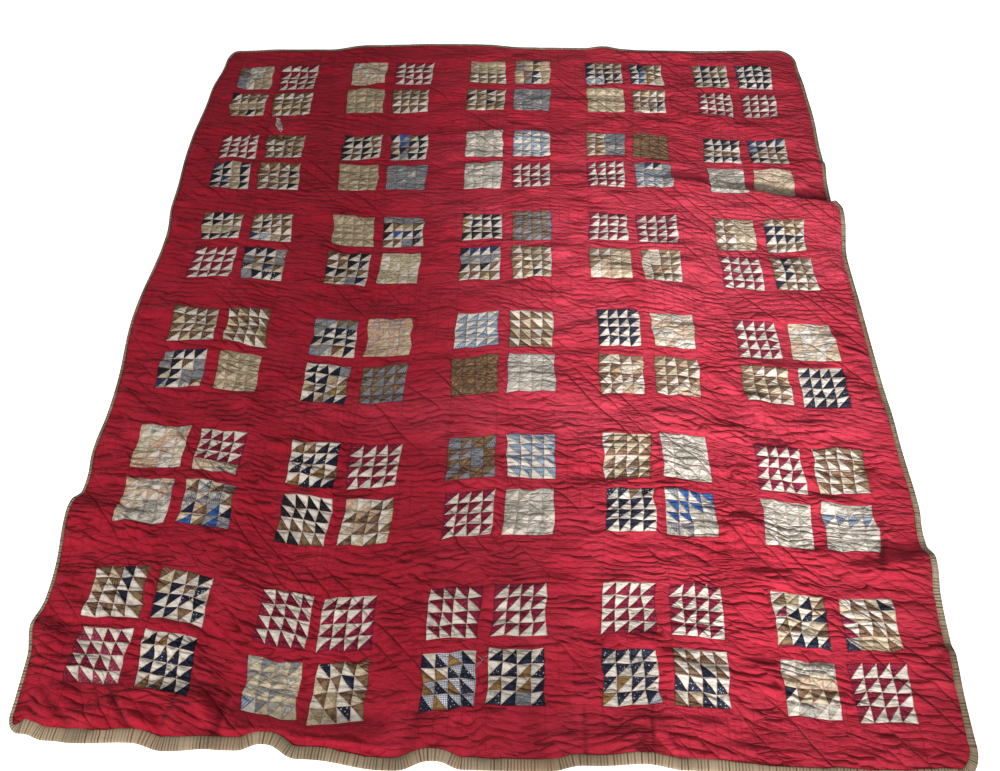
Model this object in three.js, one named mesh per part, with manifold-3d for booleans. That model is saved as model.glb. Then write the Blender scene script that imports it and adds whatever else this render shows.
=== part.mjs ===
// A patchwork quilt coverlet for a double bed, laid out flat and seen from above.
// The pieced top, thin wadding and backing are quilted through all over, so they are one sheet. A striped
// binding is folded over its raw edge and runs on round the corners, in four strips.
// Millimetres. X runs across the quilt, Y from its foot to its head, and Z is up. The origin is on the
// surface that the quilt lies on, under the middle of its outline.
import * as THREE from "three";
import { mergeVertices } from "three/addons/utils/BufferGeometryUtils.js";
import Module from "manifold-3d";

const wasm = await Module();
wasm.setup();

// Driving sizes.
const SHEET = 5; // top, wadding and backing, sewn together
const BINDING = 1.2; // the binding cloth with its turned-in raw edge
const GAP = 0.3; // between two strips of binding
const ROOM = 0.45; // between the sheet and the binding round it, where they lie level
const BACK_WIDTH = 13; // how far the binding reaches in under the sheet
const SOFT = 0.8; // how much the binding's outer fold is rounded
const RIM = 26; // the sheet and its binding lie level for this far in from the outline
const CORNER_SECTIONS = 5;

// The sheet's grid lines, and the binding's sections on them, lie closer together where folds cross them.
const LINES_ACROSS = [
  { from: -960, to: -720, step: 60 },
  { from: -720, to: -440, step: 40 },
  { from: -440, to: -200, step: 80 },
  { from: -200, to: 60, step: 65 },
  { from: 60, to: 240, step: 90 },
  { from: 240, to: 400, step: 40 },
  { from: 400, to: 960, step: 93 },
];
const LINES_ALONG = [
  { from: -1110, to: -930, step: 30 },
  { from: -930, to: -780, step: 37 },
  { from: -780, to: -540, step: 30 },
  { from: -540, to: 300, step: 120 },
  { from: 300, to: 480, step: 30 },
  { from: 480, to: 560, step: 27 },
  { from: 560, to: 1110, step: 110 },
];

// The outline, side by side, anticlockwise from the left end of the foot. "at" is the place along the side
// and "out" is how far from the middle it lies there. A rounded corner joins each side to the next.
const SIDES = {
  foot: {
    place: (at, out) => [at, -out],
    lines: LINES_ACROSS,
    front: 24,
    rows: [
      { at: -850, out: 1026 },
      { at: -790, out: 1038 },
      { at: -740, out: 1041 },
      { at: -640, out: 1038 },
      { at: -570, out: 1050 },
      { at: -450, out: 1044 },
      { at: -400, out: 1032 },
      { at: -330, out: 1055 },
      { at: -160, out: 1070 },
      { at: -85, out: 1053 },
      { at: -30, out: 1065 },
      { at: 110, out: 1064 },
      { at: 190, out: 1052 },
      { at: 300, out: 1048 },
      { at: 370, out: 1055 },
      { at: 560, out: 1062 },
      { at: 720, out: 1062 },
      { at: 850, out: 1056 },
    ],
  },
  right: {
    place: (at, out) => [out, at],
    lines: LINES_ALONG,
    front: 13,
    rows: [
      { at: -1000, out: 894 },
      { at: -880, out: 896 },
      { at: -730, out: 899 },
      { at: -650, out: 904 },
      { at: -600, out: 900 },
      { at: -520, out: 907 },
      { at: -330, out: 900 },
      { at: 0, out: 898 },
      { at: 150, out: 896 },
      { at: 320, out: 908 },
      { at: 370, out: 894 },
      { at: 560, out: 902 },
      { at: 740, out: 908 },
      { at: 840, out: 906 },
      { at: 980, out: 900 },
    ],
  },
  head: {
    place: (at, out) => [at, out],
    lines: LINES_ACROSS,
    front: 10,
    rows: [
      { at: 850, out: 1044 },
      { at: 720, out: 1040 },
      { at: 620, out: 1036 },
      { at: 450, out: 1036 },
      { at: 300, out: 1044 },
      { at: 100, out: 1044 },
      { at: -180, out: 1050 },
      { at: -450, out: 1040 },
      { at: -580, out: 1020 },
      { at: -700, out: 1018 },
      { at: -850, out: 1008 },
    ],
  },
  left: {
    place: (at, out) => [-out, at],
    lines: LINES_ALONG,
    front: 11,
    rows: [
      { at: 950, out: 882 },
      { at: 790, out: 898 },
      { at: 560, out: 908 },
      { at: 340, out: 900 },
      { at: 200, out: 887 },
      { at: -30, out: 899 },
      { at: -330, out: 884 },
      { at: -430, out: 889 },
      { at: -515, out: 881 },
      { at: -595, out: 893 },
      { at: -765, out: 883 },
      { at: -820, out: 890 },
      { at: -890, out: 880 },
      { at: -990, out: 877 },
    ],
  },
};

// The main folds. Each is a soft ridge from one place to another, with its rise at both ends and its
// reach to the left and to the right of the way it runs. It fades away past each end.
const FOLDS = {
  shoulderLedge: { from: [420, 450], to: [950, 326], rises: [7, 27], reaches: [36, 175], fade: 130 },
  creaseAboveLedge: { from: [660, 532], to: [950, 510], rises: [3, 9], reaches: [30, 60], fade: 60 },
  rightPocketLip: { from: [795, -672], to: [950, -630], rises: [8, 27], reaches: [36, 130], fade: 50 },
  lowerPocketLip: { from: [800, -846], to: [950, -832], rises: [5, 14], reaches: [32, 80], fade: 40 },
  leftShoulder: { from: [-950, -552], to: [-770, -596], rises: [26, 8], reaches: [36, 120], fade: 70 },
  leftTuck: { from: [-950, -790], to: [-760, -878], rises: [16, 5], reaches: [32, 70], fade: 60 },
  lowFootBulge: { from: [-790, -1000], to: [-640, -996], rises: [9, 14], reaches: [42, 60], fade: 50 },
  highFootBulge: { from: [-560, -990], to: [-510, -1000], rises: [22, 26], reaches: [50, 70], fade: 45 },
  middleFootBulge: { from: [-120, -1000], to: [-20, -990], rises: [16, 9], reaches: [50, 70], fade: 90 },
  hookedFootCrease: { from: [300, -1080], to: [288, -975], rises: [14, 6], reaches: [64, 40], fade: 40 },
  rollAtTheHead: { from: [-420, 1000], to: [-60, 1010], rises: [5, 6], reaches: [60, 80], fade: 90 },
  rippleAtTheHead: { from: [300, 1000], to: [300, 1070], rises: [4, 16], reaches: [60, 60], fade: 40 },
  swellOnTheLeft: { from: [-900, -80], to: [-640, -60], rises: [6, 4], reaches: [150, 170], fade: 140 },
  swellInTheMiddle: { from: [-60, 180], to: [420, 120], rises: [5, 6], reaches: [130, 160], fade: 170 },
  swellOnTheRight: { from: [560, -260], to: [900, -330], rises: [5, 7], reaches: [110, 140], fade: 120 },
  swellAtTheHead: { from: [-560, 800], to: [-160, 840], rises: [5, 4], reaches: [120, 150], fade: 140 },
};

// A soft hump: 1 at the middle, 0 from "reach" on.
const hump = (distance, reach) => 0.5 + 0.5 * Math.cos(Math.PI * Math.min(1, Math.abs(distance) / reach));

// How high the underside of the sheet lies at a place: as high as the highest fold there.
function lift(x, y) {
  const place = new THREE.Vector2(x, y);
  const heights = Object.values(FOLDS).map(({ from, to, rises, reaches, fade }) => {
    const start = new THREE.Vector2(...from);
    const way = new THREE.Vector2(...to).sub(start);
    const length = way.length();
    const away = place.clone().sub(start);
    const along = away.dot(way) / length;
    const across = way.cross(away) / length;
    const share = THREE.MathUtils.clamp(along / length, 0, 1);
    const reach = across > 0 ? reaches[0] : reaches[1];
    return THREE.MathUtils.lerp(...rises, share) * hump(across, reach) * hump(along - share * length, fade);
  });
  return Math.max(...heights);
}

// How far out a side lies at a place along it, easing from row to row.
function reachAt(rows, at) {
  const isPassed = (row, before) => (row.at - at) * (row.at - before.at) >= 0;
  const next = rows.findIndex((row, i) => i > 0 && isPassed(row, rows[i - 1]));
  const [a, b] = [rows[next - 1], rows[next]];
  const share = THREE.MathUtils.smootherstep((at - a.at) / (b.at - a.at), 0, 1);
  return THREE.MathUtils.lerp(a.out, b.out, share);
}

// The lines of a grid, from a table of zones.
function gridLines(zones) {
  const lines = zones.flatMap(({ from, to, step }) => {
    const count = Math.round((to - from) / step);
    return Array.from({ length: count }, (_, i) => THREE.MathUtils.lerp(from, to, i / count));
  });
  return [...lines, zones[zones.length - 1].to];
}

// The places along one side, from its first row to its last, where the grid lines cross it.
function sidePlaces({ rows, place, lines }) {
  const [first, last] = [rows[0].at, rows[rows.length - 1].at];
  const [low, high] = [Math.min(first, last), Math.max(first, last)];
  const crossed = gridLines(lines).filter((at) => at > low + RIM && at < high - RIM);
  const all = first < last ? [low, ...crossed, high] : [low, ...crossed, high].reverse();
  return all.map((at) => new THREE.Vector2(...place(at, reachAt(rows, at))));
}

// The rounded corner from the end of one side to the start of the next: a quarter of an ellipse, without
// its two ends. The first side ends along its own line, so the corner leaves that line smoothly.
function cornerPlaces(from, to, startsLevel) {
  return Array.from({ length: CORNER_SECTIONS }, (_, i) => {
    const turn = ((i + 1) / (CORNER_SECTIONS + 1)) * (Math.PI / 2);
    const [slow, quick] = [1 - Math.cos(turn), Math.sin(turn)];
    const [sx, sy] = startsLevel ? [quick, slow] : [slow, quick];
    return new THREE.Vector2(from.x + (to.x - from.x) * sx, from.y + (to.y - from.y) * sy);
  });
}

// Each strip of binding: its own side and the corner that follows, up to where the next strip starts.
const names = Object.keys(SIDES);
const sides = names.map((name) => sidePlaces(SIDES[name]));
const strips = names.map((name, i) => {
  const [own, next] = [sides[i], sides[(i + 1) % sides.length]];
  const corner = cornerPlaces(own[own.length - 1], next[0], name === "foot" || name === "head");
  return { name, front: SIDES[name].front, places: [...own, ...corner, next[0]] };
});
const outline = strips.flatMap((strip) => strip.places.slice(0, -1));

// The middle of the outline's box, which the origin lies under.
const box = new THREE.Box2().setFromPoints(outline);
const middle = box.getCenter(new THREE.Vector2());

// The direction into the sheet at each place of the whole outline, square to its edge there.
const inward = outline.map((_, i) => {
  const before = outline[(i + outline.length - 1) % outline.length];
  const after = outline[(i + 1) % outline.length];
  return new THREE.Vector2(before.y - after.y, after.x - before.x).normalize();
});

// The binding's section as [in from the outline, height over the surface], widened on all sides by "spare".
function bindingSection(front, spare) {
  const top = SHEET + ROOM + BINDING;
  return [
    [BACK_WIDTH + spare, -spare],
    [SOFT - spare, -spare],
    [-spare, top / 2],
    [SOFT - spare, top + spare],
    [front + spare, top + spare],
    [front + spare, top - BINDING - spare],
    [BINDING + spare, top - BINDING - spare],
    [BINDING + spare, BINDING + spare],
    [BACK_WIDTH + spare, BINDING + spare],
  ];
}

// A closed mesh from rings of points: each ring joins the next, and flat fans close the two ends.
function loft(rings, section) {
  const size = section.length;
  const faces = [];
  for (let i = 0; i + 1 < rings.length; i++)
    for (let j = 0; j < size; j++) {
      const k = (j + 1) % size;
      const [a, b, c, d] = [i * size + j, i * size + k, (i + 1) * size + k, (i + 1) * size + j];
      faces.push(a, b, c, a, c, d);
    }
  const cap = THREE.ShapeUtils.triangulateShape(
    section.map(([s, z]) => new THREE.Vector2(s, z)),
    [],
  );
  const last = (rings.length - 1) * size;
  for (const [a, b, c] of cap) faces.push(a, b, c, last + a, last + c, last + b);
  return { points: rings.flat(), faces };
}

// A solid from points and faces, turned the right way out.
function solid({ points, faces }) {
  const make = (triVerts) =>
    new wasm.Manifold(
      new wasm.Mesh({
        numProp: 3,
        vertProperties: new Float32Array(points.flat()),
        triVerts: new Uint32Array(triVerts),
      }),
    );
  const made = make(faces);
  return made.volume() > 0 ? made : make(faces.map((_, i) => faces[i - (i % 3) + (2 - (i % 3))]));
}

// One strip of binding, or the same strip "spare" larger all round, to cut its room out of the sheet.
function bindingSolid(strip, spare) {
  const section = bindingSection(strip.front, spare);
  const start = outline.indexOf(strip.places[0]);
  const rings = strip.places.map((place, i) => {
    const into = inward[(start + i) % outline.length];
    const ends = i === 0 ? 1 : i === strip.places.length - 1 ? -1 : 0;
    const shift = ends * (GAP / 2 - 3 * spare);
    const level = lift(place.x + into.x * RIM, place.y + into.y * RIM);
    return section.map(([s, z]) => [
      place.x + into.x * s + into.y * shift,
      place.y + into.y * s - into.x * shift,
      z + level,
    ]);
  });
  return solid(loft(rings, section));
}

// How high the underside lies at a place of the grid. Near the outline and past it, that is the height
// at a place RIM in, where the binding's sections take theirs.
function liftOfSheet(x, y) {
  let least = Infinity;
  let from = new THREE.Vector2(x, y);
  outline.forEach((place, i) => {
    const into = inward[i];
    const depth = (x - place.x) * into.x + (y - place.y) * into.y;
    const beside = Math.abs((y - place.y) * into.x - (x - place.x) * into.y);
    const away = Math.hypot(Math.min(0, depth), beside);
    if (depth < RIM && away < least) {
      least = away;
      from = new THREE.Vector2(x, y).addScaledVector(into, RIM - depth);
    }
  });
  const isNear = least < Math.hypot(RIM, RIM);
  return isNear ? lift(from.x, from.y) : lift(x, y);
}

// A slab on the grid that follows the folds above and below. It reaches past the outline on every side.
function slab() {
  const [xs, ys] = [gridLines(LINES_ACROSS), gridLines(LINES_ALONG)];
  const points = [];
  const faces = [];
  for (const y of ys)
    for (const x of xs) {
      const low = liftOfSheet(x, y);
      points.push([x, y, low], [x, y, low + SHEET]);
    }
  const at = (i, j, top) => 2 * (j * xs.length + i) + top;
  const quad = (a, b, c, d) => faces.push(a, b, c, a, c, d);
  for (let j = 0; j + 1 < ys.length; j++)
    for (let i = 0; i + 1 < xs.length; i++) {
      quad(at(i, j, 1), at(i + 1, j, 1), at(i + 1, j + 1, 1), at(i, j + 1, 1));
      quad(at(i, j, 0), at(i, j + 1, 0), at(i + 1, j + 1, 0), at(i + 1, j, 0));
    }
  const [right, head] = [xs.length - 1, ys.length - 1];
  for (let i = 0; i < right; i++) {
    quad(at(i, 0, 0), at(i + 1, 0, 0), at(i + 1, 0, 1), at(i, 0, 1));
    quad(at(i, head, 0), at(i, head, 1), at(i + 1, head, 1), at(i + 1, head, 0));
  }
  for (let j = 0; j < head; j++) {
    quad(at(0, j, 0), at(0, j, 1), at(0, j + 1, 1), at(0, j + 1, 0));
    quad(at(right, j, 0), at(right, j + 1, 0), at(right, j + 1, 1), at(right, j, 1));
  }
  return solid({ points, faces });
}

// The sheet: the slab cut to the outline, less the thickness of the binding, with room for the binding.
// What the binding cuts off outside itself is dropped.
function quiltedPanel() {
  const trimmed = outline.map((place, i) => place.clone().addScaledVector(inward[i], BINDING));
  const height = Math.max(...Object.values(FOLDS).flatMap((fold) => fold.rises)) + 4 * SHEET;
  const prism = new THREE.ExtrudeGeometry(new THREE.Shape(trimmed), { depth: height, bevelEnabled: false });
  prism.translate(0, 0, -SHEET);
  const cutter = fromGeometry(prism);
  let panel = slab().intersect(cutter);
  for (const strip of strips) panel = panel.subtract(bindingSolid(strip, ROOM));
  const parts = panel.decompose();
  return parts.sort((a, b) => b.volume() - a.volume())[0];
}

// Between three.js geometry and a solid, both ways.
function fromGeometry(geometry) {
  const bare = new THREE.BufferGeometry().setAttribute(
    "position",
    (geometry.index ? geometry.toNonIndexed() : geometry).getAttribute("position"),
  );
  const merged = mergeVertices(bare, 1e-4);
  return new wasm.Manifold(
    new wasm.Mesh({
      numProp: 3,
      vertProperties: merged.attributes.position.array,
      triVerts: new Uint32Array(merged.index.array),
    }),
  );
}

function toGeometry(made) {
  const { vertProperties, triVerts, numProp } = made.getMesh();
  const positions = new Float32Array(triVerts.length * 3);
  triVerts.forEach((vertex, i) => {
    for (let k = 0; k < 3; k++) positions[3 * i + k] = vertProperties[numProp * vertex + k];
  });
  const geometry = new THREE.BufferGeometry();
  geometry.setAttribute("position", new THREE.BufferAttribute(positions, 3));
  geometry.computeVertexNormals();
  return geometry;
}

// Finishes.
const redCotton = new THREE.MeshStandardMaterial({ color: 0x9c1526, roughness: 0.92, metalness: 0 });
const stripedHomespun = new THREE.MeshStandardMaterial({ color: 0x8c7a5c, roughness: 0.95, metalness: 0 });

function piece(name, made, material) {
  const mesh = new THREE.Mesh(toGeometry(made), material);
  mesh.name = name;
  return mesh;
}

const coverlet = new THREE.Group();
coverlet.add(piece("quilted_panel", quiltedPanel(), redCotton));
for (const strip of strips)
  coverlet.add(piece("binding_" + strip.name, bindingSolid(strip, 0), stripedHomespun));
coverlet.position.set(-middle.x, -middle.y, 0);

export default coverlet;
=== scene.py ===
import math

import bmesh
import bpy
import numpy as np
from mathutils import Matrix
from mathutils.kdtree import KDTree


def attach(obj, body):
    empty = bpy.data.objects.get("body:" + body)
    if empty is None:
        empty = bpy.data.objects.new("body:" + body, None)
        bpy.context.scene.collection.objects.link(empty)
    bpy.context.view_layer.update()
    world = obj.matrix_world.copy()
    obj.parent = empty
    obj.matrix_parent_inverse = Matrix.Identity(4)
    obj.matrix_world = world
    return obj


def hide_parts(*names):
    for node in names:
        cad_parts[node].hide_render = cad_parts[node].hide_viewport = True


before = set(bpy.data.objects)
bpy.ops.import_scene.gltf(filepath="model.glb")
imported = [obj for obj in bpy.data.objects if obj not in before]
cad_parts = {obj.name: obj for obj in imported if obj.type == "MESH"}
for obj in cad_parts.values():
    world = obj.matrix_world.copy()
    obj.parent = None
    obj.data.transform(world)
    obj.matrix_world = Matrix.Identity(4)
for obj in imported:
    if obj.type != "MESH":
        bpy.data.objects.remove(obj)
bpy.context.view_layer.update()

# The quilt as it lies -----------------------------------------------------------------------------
# A double-bed quilt of pieced cotton, thin wadding and a plain backing, spread by hand on a flat
# surface. Its rim wanders in and out, and soft folds are left in it. X runs across the quilt and Y
# from the foot to the head. The tables of sides, folds, strays and creases are in millimetres, and
# measures are otherwise in metres, unless a comment says so.

# Each side, going round anticlockwise: places along it, and how far out the rim lies there.
SIDES = {
    "foot": [
        (-850, 1026), (-790, 1038), (-740, 1041), (-640, 1038), (-570, 1050), (-450, 1044), (-400, 1032),
        (-330, 1055), (-160, 1070), (-85, 1053), (-30, 1065), (110, 1064), (190, 1052), (300, 1048),
        (370, 1055), (560, 1062), (720, 1062), (850, 1056),
    ],
    "right": [
        (-1000, 894), (-880, 896), (-730, 899), (-650, 904), (-600, 900), (-520, 907), (-330, 900),
        (0, 898), (150, 896), (320, 908), (370, 894), (560, 902), (740, 908), (840, 906), (980, 900),
    ],
    "head": [
        (850, 1044), (720, 1040), (620, 1036), (450, 1036), (300, 1044), (100, 1044), (-180, 1050),
        (-450, 1040), (-580, 1020), (-700, 1018), (-850, 1008),
    ],
    "left": [
        (950, 882), (790, 898), (560, 908), (340, 900), (200, 887), (-30, 899), (-330, 884), (-430, 889),
        (-515, 881), (-595, 893), (-765, 883), (-820, 890), (-890, 880), (-990, 877),
    ],
}
NEXT_SIDE = {"foot": "right", "right": "head", "head": "left", "left": "foot"}
RIM_STEP = 0.004


def ease(share):
    """Soft at both ends, as cloth turns from one direction into another."""
    share = np.clip(share, 0, 1)
    return share**3 * (share * (share * 6 - 15) + 10)


def side_line(rows):
    """Places along a side and how far out it lies at each, a few millimetres apart."""
    first, last = rows[0][0] / 1000, rows[-1][0] / 1000
    at = np.linspace(first, last, round(abs(last - first) / RIM_STEP) + 1)
    places, outs = np.array(sorted(rows)).T / 1000
    k = np.clip(np.searchsorted(places, at) - 1, 0, len(places) - 2)
    share = (at - places[k]) / (places[k + 1] - places[k])
    return at, outs[k] + (outs[k + 1] - outs[k]) * ease(share)


def corner_line(start, end, leaves_level):
    """The rounded corner between two sides: a quarter of an ellipse, without its ends."""
    count = round(math.dist(start, end) / RIM_STEP)
    turn = np.arange(1, count) / count * math.pi / 2
    slow, quick = 1 - np.cos(turn), np.sin(turn)
    return start + (end - start) * np.stack([quick, slow] if leaves_level else [slow, quick], axis=1)


def rim_lines():
    """Each side's line with the corner that follows it, anticlockwise from the left end of the foot."""
    sides = {}
    for side, rows in SIDES.items():
        at, out = side_line(rows)
        ways = {"foot": (at, -out), "right": (out, at), "head": (at, out), "left": (-out, at)}
        sides[side] = np.stack(ways[side], axis=1)
    lines = {}
    for side, following in NEXT_SIDE.items():
        start, end = sides[side][-1], sides[following][0]
        corner = corner_line(start, end, side in ("foot", "head"))
        lines[side] = np.concatenate([sides[side], corner, [end]])
    return lines


rim_by_side = rim_lines()
rim = np.concatenate([line[:-1] for line in rim_by_side.values()])
rim_middle = (rim.max(axis=0) + rim.min(axis=0)) / 2
rim -= rim_middle
rim_by_side = {side: line - rim_middle for side, line in rim_by_side.items()}
rim_along = np.roll(rim, -1, axis=0) - np.roll(rim, 1, axis=0)
rim_inward = np.stack([-rim_along[:, 1], rim_along[:, 0]], axis=1)
rim_inward /= np.linalg.norm(rim_inward, axis=1, keepdims=True)
rim_tree = KDTree(len(rim))
for k, (x, y) in enumerate(rim):
    rim_tree.insert((x, y, 0), k)
rim_tree.balance()

# How wide the binding lies on the front, at the start and at the end of each side.
BINDING_FRONTS = {
    "foot": (0.0245, 0.0170), "right": (0.0145, 0.0100), "head": (0.0100, 0.0100), "left": (0.0070, 0.0085)
}
CORNER_TURN = 0.022  # each strip takes on the next one's width over this length
fronts = []
for side, following in NEXT_SIDE.items():
    front = np.linspace(*BINDING_FRONTS[side], len(rim_by_side[side]) - 1)
    to_end = np.arange(len(front))[::-1] * RIM_STEP
    fronts.append(front + (BINDING_FRONTS[following][0] - front) * ease(1 - to_end / CORNER_TURN))
rim_front = np.concatenate(fronts)

# The main folds are soft ridges. Each runs from one place to another (x, y, x, y), with its rise at both
# ends, its reach to the left and to the right of the way it runs, and how far past its ends it fades.
FOLDS = {
    "shoulder ledge": (420, 450, 950, 326, 7, 27, 30, 175, 130),
    "crease above the ledge": (660, 532, 950, 510, 3, 9, 26, 60, 60),
    "right pocket lip": (795, -672, 950, -630, 8, 27, 30, 130, 50),
    "lower pocket lip": (800, -846, 950, -832, 5, 14, 26, 80, 40),
    "left shoulder": (-950, -552, -770, -596, 26, 8, 32, 120, 70),
    "left tuck": (-950, -790, -760, -878, 16, 5, 28, 70, 60),
    "low foot bulge": (-790, -1000, -640, -996, 9, 14, 42, 60, 50),
    "high foot bulge": (-560, -990, -510, -1000, 22, 26, 50, 70, 45),
    "middle foot bulge": (-120, -1000, -20, -990, 16, 9, 50, 70, 90),
    "hooked foot crease": (300, -1080, 288, -975, 14, 6, 64, 40, 40),
    "roll at the head": (-420, 1000, -60, 1010, 5, 6, 60, 80, 90),
    "ripple at the head": (300, 1000, 300, 1070, 4, 16, 60, 60, 40),
    "swell on the left": (-900, -80, -640, -60, 6, 4, 150, 170, 140),
    "swell in the middle": (-60, 180, 420, 120, 5, 6, 130, 160, 170),
    "swell on the right": (560, -260, 900, -330, 5, 7, 110, 140, 120),
    "swell at the head": (-560, 800, -160, 840, 5, 4, 120, 150, 140),
}
RIM_LEVEL = 0.026  # the rim lies level for this far in
NEAR_RIM_X, NEAR_RIM_Y = 0.78, 0.93  # nothing nearer to the middle needs the rim
FAR_IN = 0.2  # stands for any depth there
LATTICE = 64  # random values each way under soft noise, and where the quilt's middle lies in them
NOISE_START = (32.37, 32.71)


def hump(distance, reach):
    """A soft hump: 1 at the middle and 0 from its reach on."""
    return 0.5 + 0.5 * np.cos(math.pi * np.minimum(1, np.abs(distance) / reach))


def fold_height(x, y, fold):
    """How much one fold raises the cloth at each place."""
    x1, y1, x2, y2, first_rise, last_rise, left_reach, right_reach, fade = np.array(fold) / 1000
    length = math.dist((x1, y1), (x2, y2))
    along = ((x - x1) * (x2 - x1) + (y - y1) * (y2 - y1)) / length
    across = ((y - y1) * (x2 - x1) - (x - x1) * (y2 - y1)) / length
    share = np.clip(along / length, 0, 1)
    rise = first_rise + (last_rise - first_rise) * share
    reach = np.where(across > 0, left_reach, right_reach)
    return rise * hump(across, reach) * hump(along - share * length, fade)


def each_fold(x, y, folds):
    """How much each fold of a table raises the cloth. Tables count from the sides' own middle."""
    return [fold_height(x + rim_middle[0], y + rim_middle[1], fold) for fold in folds.values()]


def from_rim(x, y):
    """How far in from the rim each place lies, the direction into the quilt, and the binding's width."""
    depth = np.full(x.shape, FAR_IN)
    into = np.zeros(x.shape + (2,))
    front = np.full(x.shape, 0.01)
    for k in np.flatnonzero((np.abs(x) > NEAR_RIM_X) | (np.abs(y) > NEAR_RIM_Y)):
        nearest = rim_tree.find((x[k], y[k], 0))[1]
        into[k] = rim_inward[nearest]
        front[k] = rim_front[nearest]
        depth[k] = (x[k] - rim[nearest, 0]) * into[k, 0] + (y[k] - rim[nearest, 1]) * into[k, 1]
    return depth, into, front


def underside(x, y, depth, into):
    """How high the folds hold the underside. It is level across the rim."""
    back = np.clip(RIM_LEVEL - depth, 0, None)
    return np.max(each_fold(x + into[:, 0] * back, y + into[:, 1] * back, FOLDS), axis=0)


def between(value_at, row, column, up, right):
    """A table's value a share of the way up and right from a row and column to the next ones."""
    near, far = (
        value_at(this_row, column) * (1 - right) + value_at(this_row, column + 1) * right
        for this_row in (row, row + 1)
    )
    return near * (1 - up) + far * up


def soft_noise(x, y, size_x, size_y, seed):
    """Smooth unevenness from -1 to 1, about that large across and along."""
    lattice = np.random.default_rng(seed).uniform(-1, 1, (LATTICE, LATTICE))
    gx, gy = x / size_x + NOISE_START[0], y / size_y + NOISE_START[1]
    i, j = np.floor(gx).astype(int), np.floor(gy).astype(int)

    def value_at(row, column):
        return lattice[row % LATTICE, column % LATTICE]

    return between(value_at, j, i, ease(gy - j), ease(gx - i))


# The piecing plan ---------------------------------------------------------------------------------
# Thirty blocks in five columns and six rows on a Turkey-red ground. A block is four small units with
# a narrow red sash between them, and a unit is four by four squares, each sewn from two triangles
# of scrap cotton. It was pieced by hand, so blocks stray and corners don't quite meet.

COLUMNS, ROWS = 5, 6
PITCH_X, PITCH_Y = 0.343, 0.3385  # from block to block
PLAN_MIDDLE = (0.009, 0.018)
CELLS = 104  # cells of the cloth's mesh from block to block
SQUARE = 8  # cells to a square of two triangles
UNIT = 4 * SQUARE
SASH = 8
FIRST_UNIT = 16  # cells from the middle of the alley to the block
SECOND_UNIT = FIRST_UNIT + UNIT + SASH
BLOCK_END = SECOND_UNIT + UNIT
CELL_X, CELL_Y = PITCH_X / CELLS, PITCH_Y / CELLS
LEFT_MARGIN, RIGHT_MARGIN, FOOT_MARGIN, HEAD_MARGIN = 25, 21, 28, 28
UNITS = (2 * ROWS, 2 * COLUMNS)

# How far each block has strayed to the right and to the head, in millimetres, row by row from the head.
STRAY_RIGHT = [
    (-30, -22, 2, 15, -4), (-20, -3, 1, 3, -11), (-1, 12, 7, -4, -16),
    (2, 6, 7, 10, -2), (4, 9, 13, 9, -6), (2, 0, -15, -8, -16),
]
STRAY_HEAD = [
    (-50, -22, -4, -6, -17), (-13, -14, 7, 15, -10), (10, -6, 24, 26, 1),
    (14, -26, 21, 29, -6), (10, -35, 3, 16, -15), (20, -38, -2, 12, -9),
]

# The scraps in each kind of unit: its dark cloths and its light cloths, repeated where more was used.
SCRAPS = {
    "maroon": ("maroon", "cream"),
    "brown": ("brown brown stripe", "cream cream tan"),
    "navy": ("navy sprig navy", "cream"),
    "scraps": ("navy brown sprig stripe", "cream cream grey tan"),
    "dusk": ("navy brown black stripe brown", "cream tan cream"),
    "muddy": ("walnut brown stripe brown", "haze slate haze"),
    "haze": ("haze haze slate", "haze haze grey"),
    "indigo": ("navy indigo navy", "cream grey cream"),
    "ochre": ("navy ochre sprig ochre", "cream"),
    "ink": ("black brown black", "cream"),
    "check": ("sprig ochre navy sprig", "cream gingham"),
    "sprig": ("sprig", "cream grey cream"),
    "sky": ("sky", "cream"),
    "cobalt": ("cobalt cobalt slate", "cream grey"),
    "tan": ("fawn", "tan"),
    "straw": ("straw", "cream straw"),
    "grey": ("grey sage", "grey cream cream"),
    "sage": ("sage grey", "cream cream sage"),
    "drab": ("grey", "cream grey"),
    "peach": ("peach tan", "peach straw peach"),
    "walnut": ("walnut walnut brown", "walnut"),
    "rust": ("rust", "peach rust tan"),
    "rose": ("maroon rose", "cream"),
    "pale": ("peach tan grey", "cream peach tan"),
    "plaid": ("brown tan brown", "cream rust cream"),
    "umber": ("brown slate brown walnut", "slate walnut haze"),
    "print": ("haze sage grey sage", "straw tan straw"),
    "faint": ("tan grey tan peach", "cream cream grey"),
    "royal": ("brown navy cobalt slate brown", "haze grey tan haze"),
}

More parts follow.
